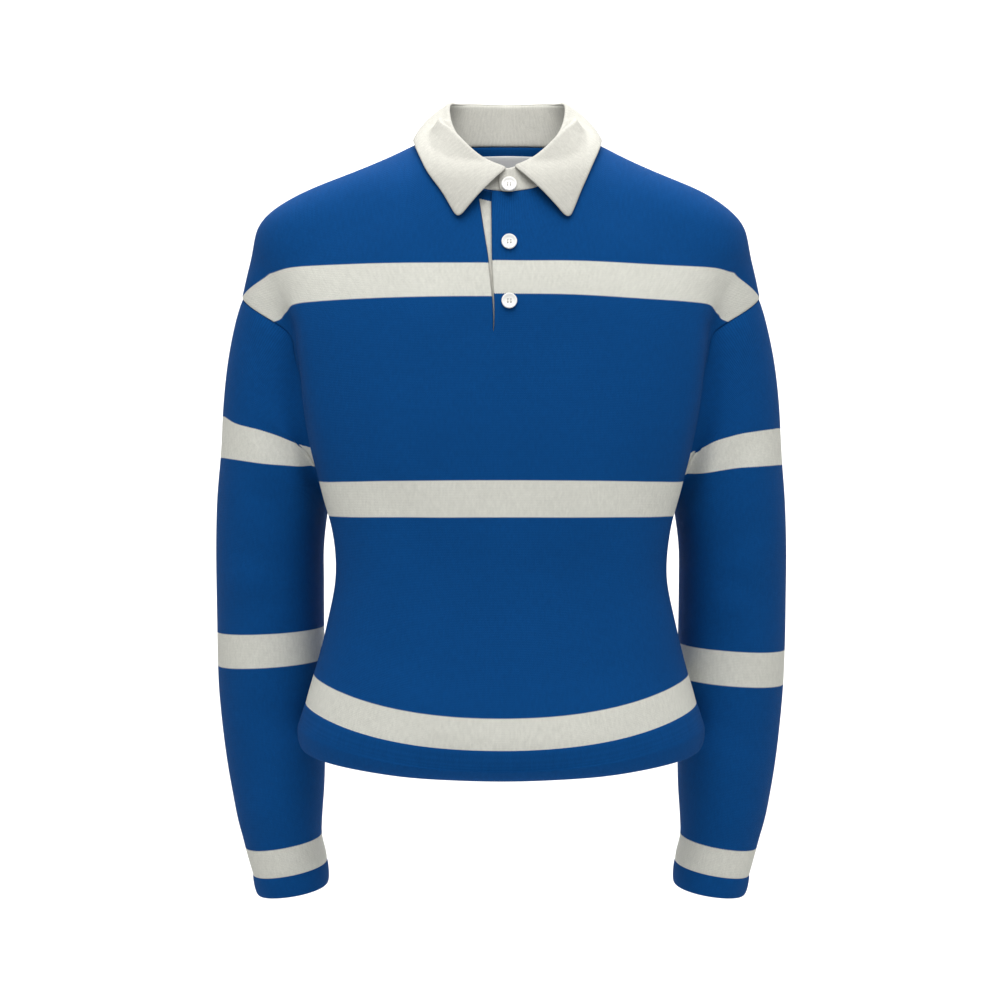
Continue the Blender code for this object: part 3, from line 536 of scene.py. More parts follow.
class Wiring:
    """Short calls for the nodes of one material."""

    def __init__(self, tree):
        self.tree = tree

    def node(self, kind):
        return self.tree.nodes.new("ShaderNode" + kind)

    def put(self, socket, value):
        if hasattr(value, "is_output"):
            self.tree.links.new(value, socket)
        else:
            socket.default_value = value

    def sum(self, operation, first, second=0.0, third=0.0):
        node = self.node("Math")
        node.operation = operation
        for socket, value in zip(node.inputs, (first, second, third)):
            self.put(socket, value)
        return node.outputs[0]

    def product(self, first, *others):
        for other in others:
            first = self.sum("MULTIPLY", first, other)
        return first

    def noise(self, vector, scale, detail):
        node = self.node("TexNoise")
        self.put(node.inputs["Vector"], vector)
        node.inputs["Scale"].default_value = scale
        node.inputs["Detail"].default_value = detail
        return node.outputs["Fac"]

    def blend(self, share, first, second, kind="MIX"):
        node = self.node("Mix")
        node.data_type = "RGBA"
        node.blend_type = kind
        self.put(node.inputs["Factor"], share)
        self.put(node.inputs["A"], first)
        self.put(node.inputs["B"], second)
        return node.outputs["Result"]

    def scaled(self, value, low, high):
        node = self.node("MapRange")
        self.put(node.inputs["Value"], value)
        node.inputs["To Min"].default_value = low
        node.inputs["To Max"].default_value = high
        return node.outputs["Result"]

    def shaded(self, colour, shade):
        """A colour made darker or lighter by one number."""
        grey = self.node("CombineColor")
        for socket in grey.inputs[:3]:
            self.put(socket, shade)
        return self.blend(1.0, colour, grey.outputs[0], "MULTIPLY")

    def object_place(self):
        return self.node("TexCoord").outputs["Object"]


def shader_of(name, roughness, more={}):
    """A new material, the wiring of its nodes and its shader's inputs."""
    material = bpy.data.materials.new(name)
    material.use_nodes = True
    inputs = material.node_tree.nodes["Principled BSDF"].inputs
    for socket, value in {"Roughness": roughness, "Metallic": 0.0, **more}.items():
        inputs[socket].default_value = value
    return material, Wiring(material.node_tree), inputs


def knit(name, ground, stripe=None, bands=(), wale=2.1, course=1.5, depth=0.4, rib=0.0):
    """Plain knit: wales of slanted stitches up the cloth, with stripes along its courses.

    ground and stripe are colours, bands are (low, high) along the cloth in metres, wale and
    course the stitch's width and height in millimetres. rib deepens every other wale.
    """
    material, wires, inputs = shader_of(name, 0.88, KNIT_SHEEN)
    lay = wires.node("UVMap")
    lay.uv_map = "cloth"
    parts = wires.node("SeparateXYZ")
    wires.put(parts.inputs[0], lay.outputs["UV"])
    u, v = parts.outputs[0], parts.outputs[1]
    place = wires.object_place()

    stray = wires.scaled(wires.noise(place, 60.0, 2.0), -WALE_STRAY, WALE_STRAY)
    half = wale * MM / 2
    slant = wires.sum("PINGPONG", wires.sum("ADD", u, stray), half)
    ridge = wires.sum("SINE", wires.product(wires.sum("DIVIDE", slant, half), math.pi))
    course_place = wires.sum("ADD", v, wires.product(slant, LEG_SLANT))
    loop = wires.sum("SINE", wires.product(course_place, 2 * math.pi / (course * MM)))
    stitch = wires.product(wires.scaled(loop, LOOP_LOW, 1.0), ridge)
    if rib:
        pair = wires.sum("DIVIDE", wires.sum("PINGPONG", u, wale * MM), wale * MM)
        stitch = wires.product(stitch, wires.scaled(pair, 1 - rib, 1.0))

    colour = ground
    for low, high in bands:
        inside = wires.product(wires.sum("GREATER_THAN", course_place, low),
                               wires.sum("LESS_THAN", course_place, high))
        colour = wires.blend(inside, colour, stripe)
    dye = wires.scaled(wires.noise(place, 14.0, 3.0), *DYE_RANGE)
    spread = wires.node("Mapping")
    spread.inputs["Scale"].default_value = STREAK_SCALE
    wires.put(spread.inputs["Vector"], lay.outputs["UV"])
    streak = wires.scaled(wires.noise(spread.outputs[0], 170.0, 3.0), *STREAK_RANGE)
    yarn = wires.scaled(wires.noise(place, 1400.0, 2.0), *YARN_RANGE)
    # Painted shade and light: the colour is darkened in the grooves between stitches and lightened
    # on their tops.
    groove_shade = wires.scaled(stitch, *GROOVE_SHADE_RANGE)
    shade = wires.product(dye, streak, yarn, groove_shade)
    wires.put(inputs["Base Color"], wires.shaded(colour, shade))

    fuzz = wires.product(wires.noise(place, 2200.0, 3.0), FUZZ)
    bump = wires.node("Bump")
    bump.inputs["Strength"].default_value = 0.55
    bump.inputs["Distance"].default_value = depth * MM
    wires.put(bump.inputs["Height"], wires.sum("ADD", stitch, fuzz))
    wires.put(inputs["Normal"], bump.outputs[0])
    return material


def mottled(name, roughness, scale, detail, colours, more={}):
    """A plain finish that wanders between two colours."""
    material, wires, inputs = shader_of(name, roughness, more)
    cloud = wires.noise(wires.object_place(), scale, detail)
    wires.put(inputs["Base Color"], wires.blend(cloud, *colours))
    return material


def label_tape():
    """The finish of the bare woven label."""
    material, wires, inputs = shader_of("woven_label_tape", 0.6)
    weave = wires.scaled(wires.noise(wires.object_place(), 1800.0, 2.0), 0.9, 1.05)
    wires.put(inputs["Base Color"], wires.shaded(LABEL_WHITE, weave))
    return material


BLUE = (0.0028, 0.062, 0.228, 1.0)
CREAM = (0.70, 0.70, 0.635, 1.0)
# Painted shade and light: the leaf and the neckband are one flat knit in two copies. The leaf's is
# painted darker against the top light it catches. The neckband's, which the under placket shares,
# is painted lighter against the shade it lies in.
LEAF_CREAM_PAINTED_DARKER = (0.60, 0.59, 0.535, 1.0)
NECK_CREAM_PAINTED_LIGHTER = (0.70, 0.69, 0.625, 1.0)
LABEL_WHITE = (0.86, 0.86, 0.85, 1.0)
SHELL_COLOURS = ((0.80, 0.79, 0.75, 1.0), (0.90, 0.90, 0.88, 1.0))
THREAD_COLOURS = ((0.52, 0.51, 0.46, 1.0), (0.70, 0.68, 0.62, 1.0))

# Cream stripes, from and to, in metres along each piece's flat cloth.
BODY_BANDS = ((-0.1432, -0.1130), (-0.3392, -0.3064), (-0.5600, -0.5150))
RIGHT_SLEEVE_BANDS = ((-0.2870, -0.2475), (-0.4880, -0.4552), (-0.7300, -0.6638))
LEFT_SLEEVE_BANDS = ((-0.2937, -0.2591), (-0.5062, -0.4725), (-0.7300, -0.6638))
UNDER_PLACKET_BANDS = ((-0.024, 0.02),)

body_knit = knit("striped_body_knit", BLUE, CREAM, BODY_BANDS)
sleeve_knit = {"left": knit("striped_left_sleeve_knit", BLUE, CREAM, LEFT_SLEEVE_BANDS),
               "right": knit("striped_right_sleeve_knit", BLUE, CREAM, RIGHT_SLEEVE_BANDS)}
band_knit = knit("doubled_band_knit", BLUE)
# Painted shade and light: the collar's leaf takes the darker copy of its cream, and the neckband
# and under placket take the lighter one.
collar_knit_painted_darker = knit("flat_knit_collar_painted_darker", LEAF_CREAM_PAINTED_DARKER, wale=1.6, course=1.2, depth=0.35, rib=0.25)
neckband_finish_painted_lighter = knit("flat_knit_neckband_painted_lighter", NECK_CREAM_PAINTED_LIGHTER, wale=1.6, course=1.2, depth=0.35,
                       rib=0.25)
under_knit = knit("under_placket_knit", NECK_CREAM_PAINTED_LIGHTER, BLUE, UNDER_PLACKET_BANDS, wale=1.6,
                  course=1.2)


# ---- sheets

def added(name, shape, finish=None, smooth=True):
    """Put a finished bmesh into the scene as a piece."""
    mesh = bpy.data.meshes.new(name)
    shape.to_mesh(mesh)
    shape.free()
    if smooth:
        mesh.shade_smooth()
    if finish:
        mesh.materials.append(finish)
    piece = bpy.data.objects.new(name, mesh)
    bpy.context.scene.collection.objects.link(piece)
    return piece


def cloth_lay(across, along):
    """Places on the flat cloth, in metres: across for each column and along for each row."""
    return np.stack(np.broadcast_arrays(across[None, :], along[:, None]), axis=-1)


def laid_out(name, grid, cloth, finish, closed=False, keep=None, wall=WALL):
    """A sheet of cloth: a flat grid of squares mapped onto points, with its cloth lay kept.

    grid holds points in millimetres; cloth holds each point's place on the flat cloth, in
    metres. keep tells which squares stay, and a closed sheet already has its own thickness.
    """
    rows, columns = grid.shape[:2]
    sheet = bmesh.new()
    bmesh.ops.create_grid(sheet, x_segments=columns - 1, y_segments=rows - 1, size=1.0,
                          calc_uvs=True)
    sheet.verts.ensure_lookup_table()
    lay = sheet.loops.layers.uv.verify()
    flat = grid.reshape(-1, 3)
    places = np.asarray(cloth, float).reshape(-1, 2)
    out = []
    for face in sheet.faces:
        numbers = [vert.index for vert in face.verts]
        for loop, number in zip(face.loops, numbers):
            loop[lay].uv = places[number]
        row, column = min(n // columns for n in numbers), min(n % columns for n in numbers)
        if keep is not None and not keep[row, column]:
            out.append(face)
    for vert in sheet.verts:
        vert.co = flat[vert.index] * MM
    if out:
        bmesh.ops.delete(sheet, geom=out, context="FACES")
    bmesh.ops.remove_doubles(sheet, verts=sheet.verts, dist=0.00002)
    bmesh.ops.recalc_face_normals(sheet, faces=sheet.faces)
    if not closed:
        sheet.faces.ensure_lookup_table()
        middle = sheet.faces[len(sheet.faces) // 2]
        spot = np.array(middle.calc_center_median()) / MM
        if np.dot(np.array(middle.normal), outward(spot[None])[0]) < 0:
            bmesh.ops.reverse_faces(sheet, faces=sheet.faces)
    piece = added(name, sheet, finish)
    piece.data.uv_layers[0].name = "cloth"
    if not closed:
        thick = piece.modifiers.new("cloth thickness", "SOLIDIFY")
        thick.thickness = wall * MM
        thick.offset = -1.0
        thick.use_even_offset = False
    soft = piece.modifiers.new("soft knit", "SUBSURF")
    soft.levels = 1
    soft.render_levels = 1
    return piece


def dress(piece, node):
    """A finished piece stands for its node, whose part is hidden, and hangs from the root."""
    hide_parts(node)
    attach(piece, "root")


# ---- body

HEM_STEPS, ARMHOLE_STEPS, SHOULDER_STEPS = 30, 22, 14
UNDER_HEM = -0.035  # the row at which a panel ends, inside the hem band
BODY_ROWS_FINE = np.concatenate([
    [UNDER_HEM],
    np.linspace(0, 1, HEM_STEPS + 1)[:-1],
    1 + np.linspace(0, 1, ARMHOLE_STEPS + 1)[:-1],
    2 + np.linspace(0, 1, SHOULDER_STEPS + 1),
])
PLACKET_FOOT_AT = 1 + HEM_STEPS + 14  # where the placket's foot is in that list
SIDE_COLUMNS = 30
STRIP_COLUMNS = 4
SLIT = (PLACKET_LEFT / CHEST_HALF_GIRTH, PLACKET_RIGHT / CHEST_HALF_GIRTH)
PLACKET_PROUD = 0.9  # how far the top placket's free edge stands up
CLOTH_AT_TIP = -108.0  # up the cloth at the shoulder tip, and from there to the neck
CLOTH_TO_NECK = 96.0

# The chest stripe doesn't run level. Above STEP_FROM it steps up right of the opening, and
# the step fades until STEP_END across. Past DROP_FROM across its lower edge drops along the
# armhole, between the rows DROP_FOOT and DROP_TOP.
STEP_RISE = 0.0022  # metres of cloth
STEP_FROM, STEP_OVER = -176.0, 6.0
STEP_END, STEP_FADE = 150.0, 120.0
DROP_BY = 0.0125  # metres of cloth
DROP_FROM, DROP_OVER = 192.0, 12.0
DROP_FOOT, DROP_FOOT_OVER = 1.35, 0.2
DROP_TOP, DROP_TOP_OVER = 2.0, 0.22


def straight(rows):
    """How much smaller a share is towards the neckline, so that the placket keeps its width."""
    return 1.0 / (1.0 + NECK_SPREAD * np.clip(rows - 2.0, 0, 1))


def under_edge(rows):
    """The share across at which the under side of the neck opening is cut, at each row."""
    open_share = np.clip((rows - PLACKET_FOOT_ROW) / (3 - PLACKET_FOOT_ROW), 0, 1)
    return (SLIT[0] - PLACKET_GAPE / CHEST_HALF_GIRTH * open_share ** 1.2) * straight(rows)


def cloth_of_body(shares, rows):
    """Places on the flat cloth of a body panel, for its shares across and its rows."""
    shares = np.broadcast_to(shares, (len(rows), np.shape(shares)[-1]))
    along = np.where(rows <= 2.0, body_row_at(np.minimum(rows, 2.0), "z"),
                     CLOTH_AT_TIP + (rows - 2.0) * CLOTH_TO_NECK) * MM
    return np.stack([shares * CHEST_HALF_GIRTH * MM,
                     np.broadcast_to(along[:, None], shares.shape)], axis=-1)


def set_up(cloth, strip):
    """Right of the opening the chest stripe sits a little higher, fading away from the placket."""
    across = cloth[..., 0] / MM
    raised = strip * eased((STEP_END - across) / STEP_FADE) * STEP_RISE
    above = eased((cloth[..., 1] / MM - STEP_FROM) / STEP_OVER)
    cloth[..., 1] -= raised * above
    return cloth


def drawn_down(cloth, grid, rows):
    """Beyond the crease beside the chest the stripe's lower edge hangs down along the armhole."""
    beyond = eased((np.abs(grid[..., 0]) - DROP_FROM) / DROP_OVER)
    level = (eased((DROP_TOP - rows) / DROP_TOP_OVER)
             * eased((rows - DROP_FOOT) / DROP_FOOT_OVER))
    cloth[..., 1] += DROP_BY * beyond * level[:, None]
    return cloth


def tucked(grid, sides, past, under):
    """Let the named edges of a sheet run on past a seam and dip under its neighbour."""
    grid = grid.copy()
    ends = {"low": (0, 1, 0), "high": (-1, -2, 0), "first": (0, 1, 1), "last": (-1, -2, 1)}
    away = outward(grid)
    for side in sides:
        edge, within, axis = ends[side]
        view = grid if axis == 0 else grid.transpose(1, 0, 2)
        lift = away if axis == 0 else away.transpose(1, 0, 2)
        step = view[edge] - view[within]
        step = step / np.maximum(np.linalg.norm(step, axis=-1, keepdims=True), 1e-6)
        view[edge] = view[edge] + step * past - lift[edge] * under
    return grid


def make_front():
    """The front, slit from the neckline to the placket's foot; returns its points."""
    rows = BODY_ROWS_FINE
    left = under_edge(rows)[:, None]
    width = straight(rows)[:, None]
    spread = np.linspace(0, 1, SIDE_COLUMNS + 1)
    strip = SLIT[0] + (SLIT[1] - SLIT[0]) * np.linspace(0, 1, STRIP_COLUMNS + 1)
    edge = SLIT[1] * width
    shares = np.concatenate([-1 + (left + 1) * spread, (width * strip)[:, :-1],
                             edge + (1 - edge) * spread], axis=1)
    grid = worn(panel(1, shares, rows))
    first = SIDE_COLUMNS + 1
    on_strip = np.zeros(shares.shape[1])
    on_strip[first:] = 1.0
    proud = np.zeros(shares.shape[1])
    proud[first:first + 1 + STRIP_COLUMNS] = eased(np.linspace(1, 0, STRIP_COLUMNS + 1))
    opened = eased((rows - PLACKET_FOOT_ROW) / 0.08)
    grid = grid + outward(grid) * (PLACKET_PROUD * proud[None, :] * opened[:, None])[..., None]
    cloth = drawn_down(cloth_of_body(shares, rows), grid, rows)
    cloth = set_up(cloth, on_strip[None, :])
    grid[0] -= outward(grid[0]) * TUCKED_END
    keep = np.ones((len(rows) - 1, shares.shape[1] - 1), bool)
    keep[:, SIDE_COLUMNS] = False
    dress(laid_out("front_knit", grid, cloth, body_knit, keep=keep), "front_panel")
    return grid


def make_back():
    """The back, whose sides and top run on under the front's edges; returns its points."""
    rows = BODY_ROWS_FINE
    shares = np.linspace(-1, 1, 2 * SIDE_COLUMNS + 5)
    grid = worn(panel(-1, shares, rows))
    cloth = drawn_down(cloth_of_body(shares, rows), grid, rows)
    grid[0] -= outward(grid[0]) * TUCKED_END
    grid = tucked(grid, ("first", "last", "high"), 0.9, 0.5)
    dress(laid_out("back_knit", grid, cloth, body_knit), "back_panel")
    return grid


# ---- sleeves

SLEEVE_ROUND = 48
SLEEVE_RINGS_FINE = np.concatenate([np.linspace(0, 0.2, 9)[:-1], np.linspace(0.2, 0.27, 5)[:-1],
                                    np.linspace(0.27, 1.0, 52), [1.003]])

# The upper-arm stripe's edges slant down to the body: how far across, and the height there
# of its upper and its lower edge.
UPPER_STRIPE = {
    "right": ((150, -292.0, -300.0), (180, -278.4, -295.5), (202, -268.3, -294.0),
              (224, -261.0, -292.0), (249, -255.0, -288.6), (262, -247.5, -287.0)),
    "left": ((150, -298.0, -310.0), (176, -285.8, -303.3), (198, -271.0, -299.6),
             (222, -264.5, -296.0), (261, -259.1, -293.7)),
}
STRIPE_MARGIN = 0.6  # how far past its edges the slant reaches, in stripe widths


def make_sleeves():
    """Both sleeves, a mirrored pair but for the height of their stripes."""
    angles = np.linspace(0, 2 * math.pi, SLEEVE_ROUND + 1)
    rings = SLEEVE_RINGS_FINE
    base = sleeve(angles, rings)
    first, first_z = SLEEVE[0][0], SLEEVE[0][1]
    tip_z = SHOULDER_TIP[2]
    along = np.where(rings >= first, sleeve_at(rings, "outer_z"),
                     tip_z + (rings / first) * (first_z - tip_z)) * MM
    for side in ("left", "right"):
        cloth = cloth_lay(angles / (2 * math.pi) * SLEEVE_GIRTH * MM, along)
        across, upper, lower = np.array(UPPER_STRIPE[side]).T
        high = np.interp(base[..., 0], across, upper)
        low = np.interp(base[..., 0], across, lower)
        share = (high - base[..., 2]) / (high - low)
        reached = np.clip(share, -STRIPE_MARGIN, 1 + STRIPE_MARGIN)
        slanted = (upper[-1] - (upper[-1] - lower[-1]) * reached) * MM
        level = np.where(share > 1, np.minimum(cloth[..., 1], slanted),
                         np.maximum(cloth[..., 1], slanted))
        near = (share > -STRIPE_MARGIN) & (share < 1 + STRIPE_MARGIN)
        cloth[..., 1] = np.where(near, slanted, level)
        grid = worn(base if side == "left" else mirrored(base))
        grid[:, -1] = grid[:, 0]
        grid[-1] -= outward(grid[-1]) * TUCKED_END
        grid = tucked(grid, ("low",), 1.4, 1.0)
        dress(laid_out("sleeve_knit_" + side, grid, cloth, sleeve_knit[side]), "sleeve_" + side)


# ---- doubled bands

BAND_PROFILE = (  # share of the band's depth, height above the form
    (-0.02, -1.0), (-0.01, 0.3), (0.05, 1.1), (0.16, 1.8), (0.34, 2.4), (0.55, 2.6),
    (0.75, 2.3), (0.9, 1.5), (0.98, 0.2), (1.0, -1.0), (0.95, -2.2), (0.8, -2.7),
    (0.5, -2.8), (0.25, -2.7), (0.03, -2.3), (-0.02, -1.0),
)
HEM_GIRTH, HEM_DEPTH = 1.12, 0.034  # the lay of the bands' stitches, in metres
CUFF_GIRTH, CUFF_DEPTH = 0.25, 0.02
CUFF_BULK, CUFF_SINK = 0.6, 0.2  # a cuff is flatter than the hem and lies deeper


def make_hem_band():
    """The hem band, one ring that starts and ends at a side seam."""
    shares = np.linspace(-1, 1, 2 * SIDE_COLUMNS + 3)
    loops = []
    for depth, height in BAND_PROFILE:
        rows = np.array([-depth])
        front, back = panel(1, shares, rows)[0], panel(-1, shares[::-1], rows)[0]
        ring = worn(np.concatenate([front, back[1:]]))
        loops.append(ring + outward(ring) * height)
    grid = np.array(loops)
    depths = np.array(BAND_PROFILE)[:, 0]
    cloth = cloth_lay(np.linspace(0, HEM_GIRTH, grid.shape[1]), -depths * HEM_DEPTH)
    dress(laid_out("hem_knit", grid, cloth, band_knit, closed=True), "hem_band")


def make_cuffs():
    """Both cuffs, a mirrored pair."""
    angles = np.linspace(0, 2 * math.pi, SLEEVE_ROUND + 1)
    length = SLEEVE[-1][0] - 1.0
    depths, heights = np.array(BAND_PROFILE).T
    rings = 1.0 + length * depths
    base = sleeve(angles, rings)
    cloth = cloth_lay(angles / (2 * math.pi) * CUFF_GIRTH, -(rings - 1.0) / length * CUFF_DEPTH)
    for side in ("left", "right"):
        ring = worn(base if side == "left" else mirrored(base))
        grid = ring + outward(ring) * (heights[:, None, None] * CUFF_BULK - CUFF_SINK)
        grid[:, -1] = grid[:, 0]
        dress(laid_out("cuff_knit_" + side, grid, cloth, band_knit, closed=True), "cuff_" + side)


# ---- neck opening

FACING_WALL, FACING_DEPTH = 1.1, WALL - 0.7  # the top placket's backing
LINING_WALL, LINING_DEPTH = 1.4, 3.0  # the under placket
LINING_PAST = 3.3  # how far the under placket shows beside the opening
LABEL_HALF_SHARE = 0.1036
LABEL_TOP, LABEL_FOOT = 1.0 / 6.0, 0.32 / 6.0  # below the neckline, in knitted rows
LABEL_WALL, LABEL_GAP = 0.7, 0.9


def behind(face, shares, rows, depth):
    """Points of cloth that lies so deep behind a panel's outer face."""
    grid = worn(panel(face, shares, rows))
    return grid - outward(grid) * depth


def make_placket():
    """The backing of the top placket, and the under placket that shows in the opening."""
    rows = BODY_ROWS_FINE[PLACKET_FOOT_AT:]
    shares = straight(rows)[:, None] * np.linspace(SLIT[0] + 0.001, SLIT[1], 6)
    grid = behind(1, shares, rows, FACING_DEPTH)
    cloth = set_up(cloth_of_body(shares, rows), 1.0)
    dress(laid_out("placket_facing", grid, cloth, body_knit, wall=FACING_WALL), "placket_top")

    past = LINING_PAST / CHEST_HALF_GIRTH
    left = under_edge(rows)[:, None] - past
    right = SLIT[1] * straight(rows)[:, None] - past
    shares = left + (right - left) * np.linspace(0, 1, 7)
    grid = behind(1, shares, rows, LINING_DEPTH)
    cloth = cloth_of_body(shares, rows)
    dress(laid_out("placket_lining", grid, cloth, under_knit, wall=LINING_WALL), "placket_under")


def make_label():
    """The bare woven label on the inner face of the back, under the neckline."""
    shares = np.linspace(-LABEL_HALF_SHARE, LABEL_HALF_SHARE, 17)
    rows = 3.0 - np.linspace(LABEL_TOP, LABEL_FOOT, 6)
    grid = behind(-1, shares, rows, WALL + LABEL_GAP)
    cloth = cloth_of_body(shares, rows)
    dress(laid_out("woven_label", grid, cloth, label_tape(), wall=LABEL_WALL), "neck_label")


# ---- collar

NECK_MIDDLE = np.array([NECK_X, 0.0, 0.0])
NEAR_SHOULDER_LINE = 6.0  # a panel's top edge is neckline up to these distances from
NECK_REACH = 100.0  # the middle of the neck, the shorter one on the shoulder line
NECK_REACH_SHOULDER = 84.0
COLLAR_LAY = 0.0012  # metres of cloth for each degree round the neck
BAND_TURN, BAND_COLUMNS = 189.5, 90  # the neckband's ends lap at the front
BAND_TOP, BAND_LAY = 0.97, 0.04  # it ends just inside the fold
LEAF_TURN, LEAF_COLUMNS = 178.0, 96  # the leaf's ends nearly meet

# The leaf: how far it starts off the fold, how it swells as it falls, and how high its
# inner face stands above the shirt.
LEAF_START_OUT, LEAF_START_DOWN = 2.2, 1.2
LEAF_SWELL, LEAF_SWELL_UP = 5.0, 0.4
LEAF_EDGE_ABOVE, LEAF_ABOVE = 1.8, 1.6
TIPS_LEFTWARD, TIPS_LOWER = 5.0, 3.0  # the tips swing to the wearer's left and down
OVER_FOLD = ((-1.4, -2.6), (-1.3, -0.9), (0.4, 0.5), (2.7, 0.4))  # out and up from the fold


def foot_line(front, back, turn):
    """Points of the neckline at turns round the neck, from the top rows of front and back."""
    strip = panel(1, np.linspace(SLIT[0], SLIT[1], 6), np.array([3.0]))[0]
    edge = np.concatenate([front[-1], strip, back[-1]])
    reach = np.where(np.abs(edge[:, 1]) < NEAR_SHOULDER_LINE, NECK_REACH_SHOULDER, NECK_REACH)
    edge = edge[np.hypot(edge[:, 0] - NECK_X, edge[:, 1]) < reach]
    at = turn_round_neck(edge)
    order = np.argsort(at)
    edge, at = edge[order], at[order]
    edge = np.concatenate([edge[-2:], edge, edge[:2]])
    at = np.concatenate([at[-2:] - 360.0, at, at[:2] + 360.0])
    return np.stack([np.interp(turn, at, edge[:, k]) for k in range(3)], axis=-1)


def from_front(turn):
    """The collar table's angle, which counts from the middle of the front."""
    return np.where(turn < 0, -180.0, 180.0) - turn


def make_neckband(front, back):
    """The neckband, which stands on the neckline and laps at the middle of the front."""
    turn = np.linspace(-BAND_TURN, BAND_TURN, BAND_COLUMNS)
    seen = turn_round_neck(round_collar(from_front(turn), "foot"))
    foot = foot_line(front, back, seen + 360.0 * np.round((turn - seen) / 360.0))
    fold = round_collar(from_front(turn), "fold")
    foot = foot - unit(fold - foot) * SEAM_OVERLAP
    climb = np.linspace(0, BAND_TOP, 8)[:, None, None]
    outer = foot + (fold - foot) * climb
    normal = grid_normals(outer)
    facing = np.sign(np.sum(normal[..., :2] * (outer - NECK_MIDDLE)[..., :2], axis=-1,
                            keepdims=True))
    outer = outer + normal * facing * lapped(turn)[None, :, None]
    cloth = cloth_lay(turn * COLLAR_LAY, np.linspace(0, BAND_LAY, 8))
    piece = laid_out("neckband_knit", outer, cloth, neckband_finish_painted_lighter, wall=COLLAR_WALL)
    dress(piece, "collar_stand")


def make_leaf():
    """The leaf, which turns over the neckband and falls on the shoulders."""
    turn = np.linspace(-LEAF_TURN, LEAF_TURN, LEAF_COLUMNS)
    fold_turn = turn - LEAF_SET_BACK_LEFT * eased((turn - 110.0) / 68.0)
    fold = round_collar(from_front(fold_turn), "fold")
    edge = round_collar(from_front(turn), "edge")
    edge[:, 0] += TIPS_LEFTWARD * eased((np.abs(turn) - 130.0) / 50.0)
    edge[:, 2] -= TIPS_LOWER * eased((np.abs(turn) - 155.0) / 23.0)
    out = fold - NECK_MIDDLE
    out[:, 2] = 0
    out = unit(out)
    up = np.array([0, 0, 1.0])
    start = fold + out * (COLLAR_WALL + LEAF_START_OUT) - up * LEAF_START_DOWN
    edge = settle(edge)
    edge = edge + outward(edge) * (COLLAR_WALL + LEAF_EDGE_ABOVE)
    fall = np.linspace(0, 1, 13)[:, None, None]
    swell = (out + up * LEAF_SWELL_UP) * 4 * fall * (1 - fall) * LEAF_SWELL
    leaf = clear_of(start + (edge - start) * fall + swell, COLLAR_WALL + LEAF_ABOVE)
    for corner, beside in ((0, 1), (-1, -2)):
        leaf[-1, corner] += (leaf[-2, beside] - leaf[-1, corner]) * TIP_ROUNDING
    over = np.stack([fold + out * away + up * above for away, above in OVER_FOLD])
    grid = np.concatenate([over, leaf])
    down = np.concatenate([np.linspace(-0.009, -0.002, 4), np.linspace(0, 0.062, 13)])
    cloth = cloth_lay(turn * COLLAR_LAY, -down)
    piece = laid_out("leaf_knit", grid, cloth, collar_knit_painted_darker, wall=COLLAR_WALL - 0.2)
    dress(piece, "collar_leaf")


# ---- buttons

BUTTON_SECTION = (  # radius and height of a button's outline
    (0.0, 1.5), (3.9, 1.5), (4.5, 1.8), (5.0, 2.35), (6.2, 2.6), (6.8, 2.2), (7.0, 1.4),
    (6.8, 0.6), (6.1, 0.0), (0.0, 0.0),
)
BUTTON_MIDDLE = 1.3  # the height that goes to the node's middle
HOLE_AT, HOLE_RADIUS = 1.35, 0.72
THREAD_RADIUS, THREAD_LIFT, THREAD_FLATNESS = 0.32, 0.35, 0.45


def set_at(shape, turn, spot, rise=0.0):
    """Turn a shape and move it to a spot, from millimetres to metres."""
    for vert in shape.verts:
        vert.co = (turn @ (np.array(vert.co) + (0.0, 0.0, rise)) + spot) * MM


def button_shell():
    """A flat button with a raised rim, in millimetres, facing +Z."""
    blank = bmesh.new()
    outline = [blank.verts.new((radius, 0.0, height)) for radius, height in BUTTON_SECTION]
    edges = [blank.edges.new(pair) for pair in zip(outline, outline[1:])]
    bmesh.ops.spin(blank, geom=outline + edges, cent=(0, 0, 0), axis=(0, 0, 1),
                   angle=2 * math.pi, steps=40, use_merge=True)
    bmesh.ops.remove_doubles(blank, verts=blank.verts, dist=0.001)
    bmesh.ops.recalc_face_normals(blank, faces=blank.faces)
    return blank


def drill_holes(button, turn, spot):
    """Cut the four sewing holes through a button."""
    drill = bmesh.new()
    for x in (-HOLE_AT, HOLE_AT):
        for y in (-HOLE_AT, HOLE_AT):
            made = bmesh.ops.create_cone(drill, cap_ends=True, segments=16, radius1=HOLE_RADIUS,
                                         radius2=HOLE_RADIUS, depth=8.0)
            bmesh.ops.translate(drill, verts=made["verts"], vec=(x, y, 0))
    set_at(drill, turn, spot)
    tool = added("drill", drill, smooth=False)
    cut = button.modifiers.new("holes", "BOOLEAN")
    cut.object = tool
    cut.operation = "DIFFERENCE"
    cut.solver = "EXACT"
    bpy.context.view_layer.update()
    evaluated = button.evaluated_get(bpy.context.evaluated_depsgraph_get())
    drilled = bpy.data.meshes.new_from_object(evaluated)
    button.modifiers.clear()
    button.data = drilled
    drilled.set_sharp_from_angle(angle=math.radians(40))
    bpy.data.objects.remove(tool)


def thread_loops():
    """Two bows of sewing thread, from hole to hole, in millimetres, facing +Z."""
    loops = bmesh.new()
    for x in (-HOLE_AT, HOLE_AT):
        made = bmesh.ops.create_circle(loops, segments=8, radius=THREAD_RADIUS)
        bmesh.ops.translate(loops, verts=made["verts"], vec=(x, -HOLE_AT, 0))
        edges = list({edge for vert in made["verts"] for edge in vert.link_edges})
        bmesh.ops.spin(loops, geom=made["verts"] + edges, cent=(x, 0, 0), axis=(-1, 0, 0),
                       angle=math.pi, steps=10)
    bmesh.ops.recalc_face_normals(loops, faces=loops.faces)
    for vert in loops.verts:
        vert.co.z = THREAD_LIFT + vert.co.z * THREAD_FLATNESS
    return loops


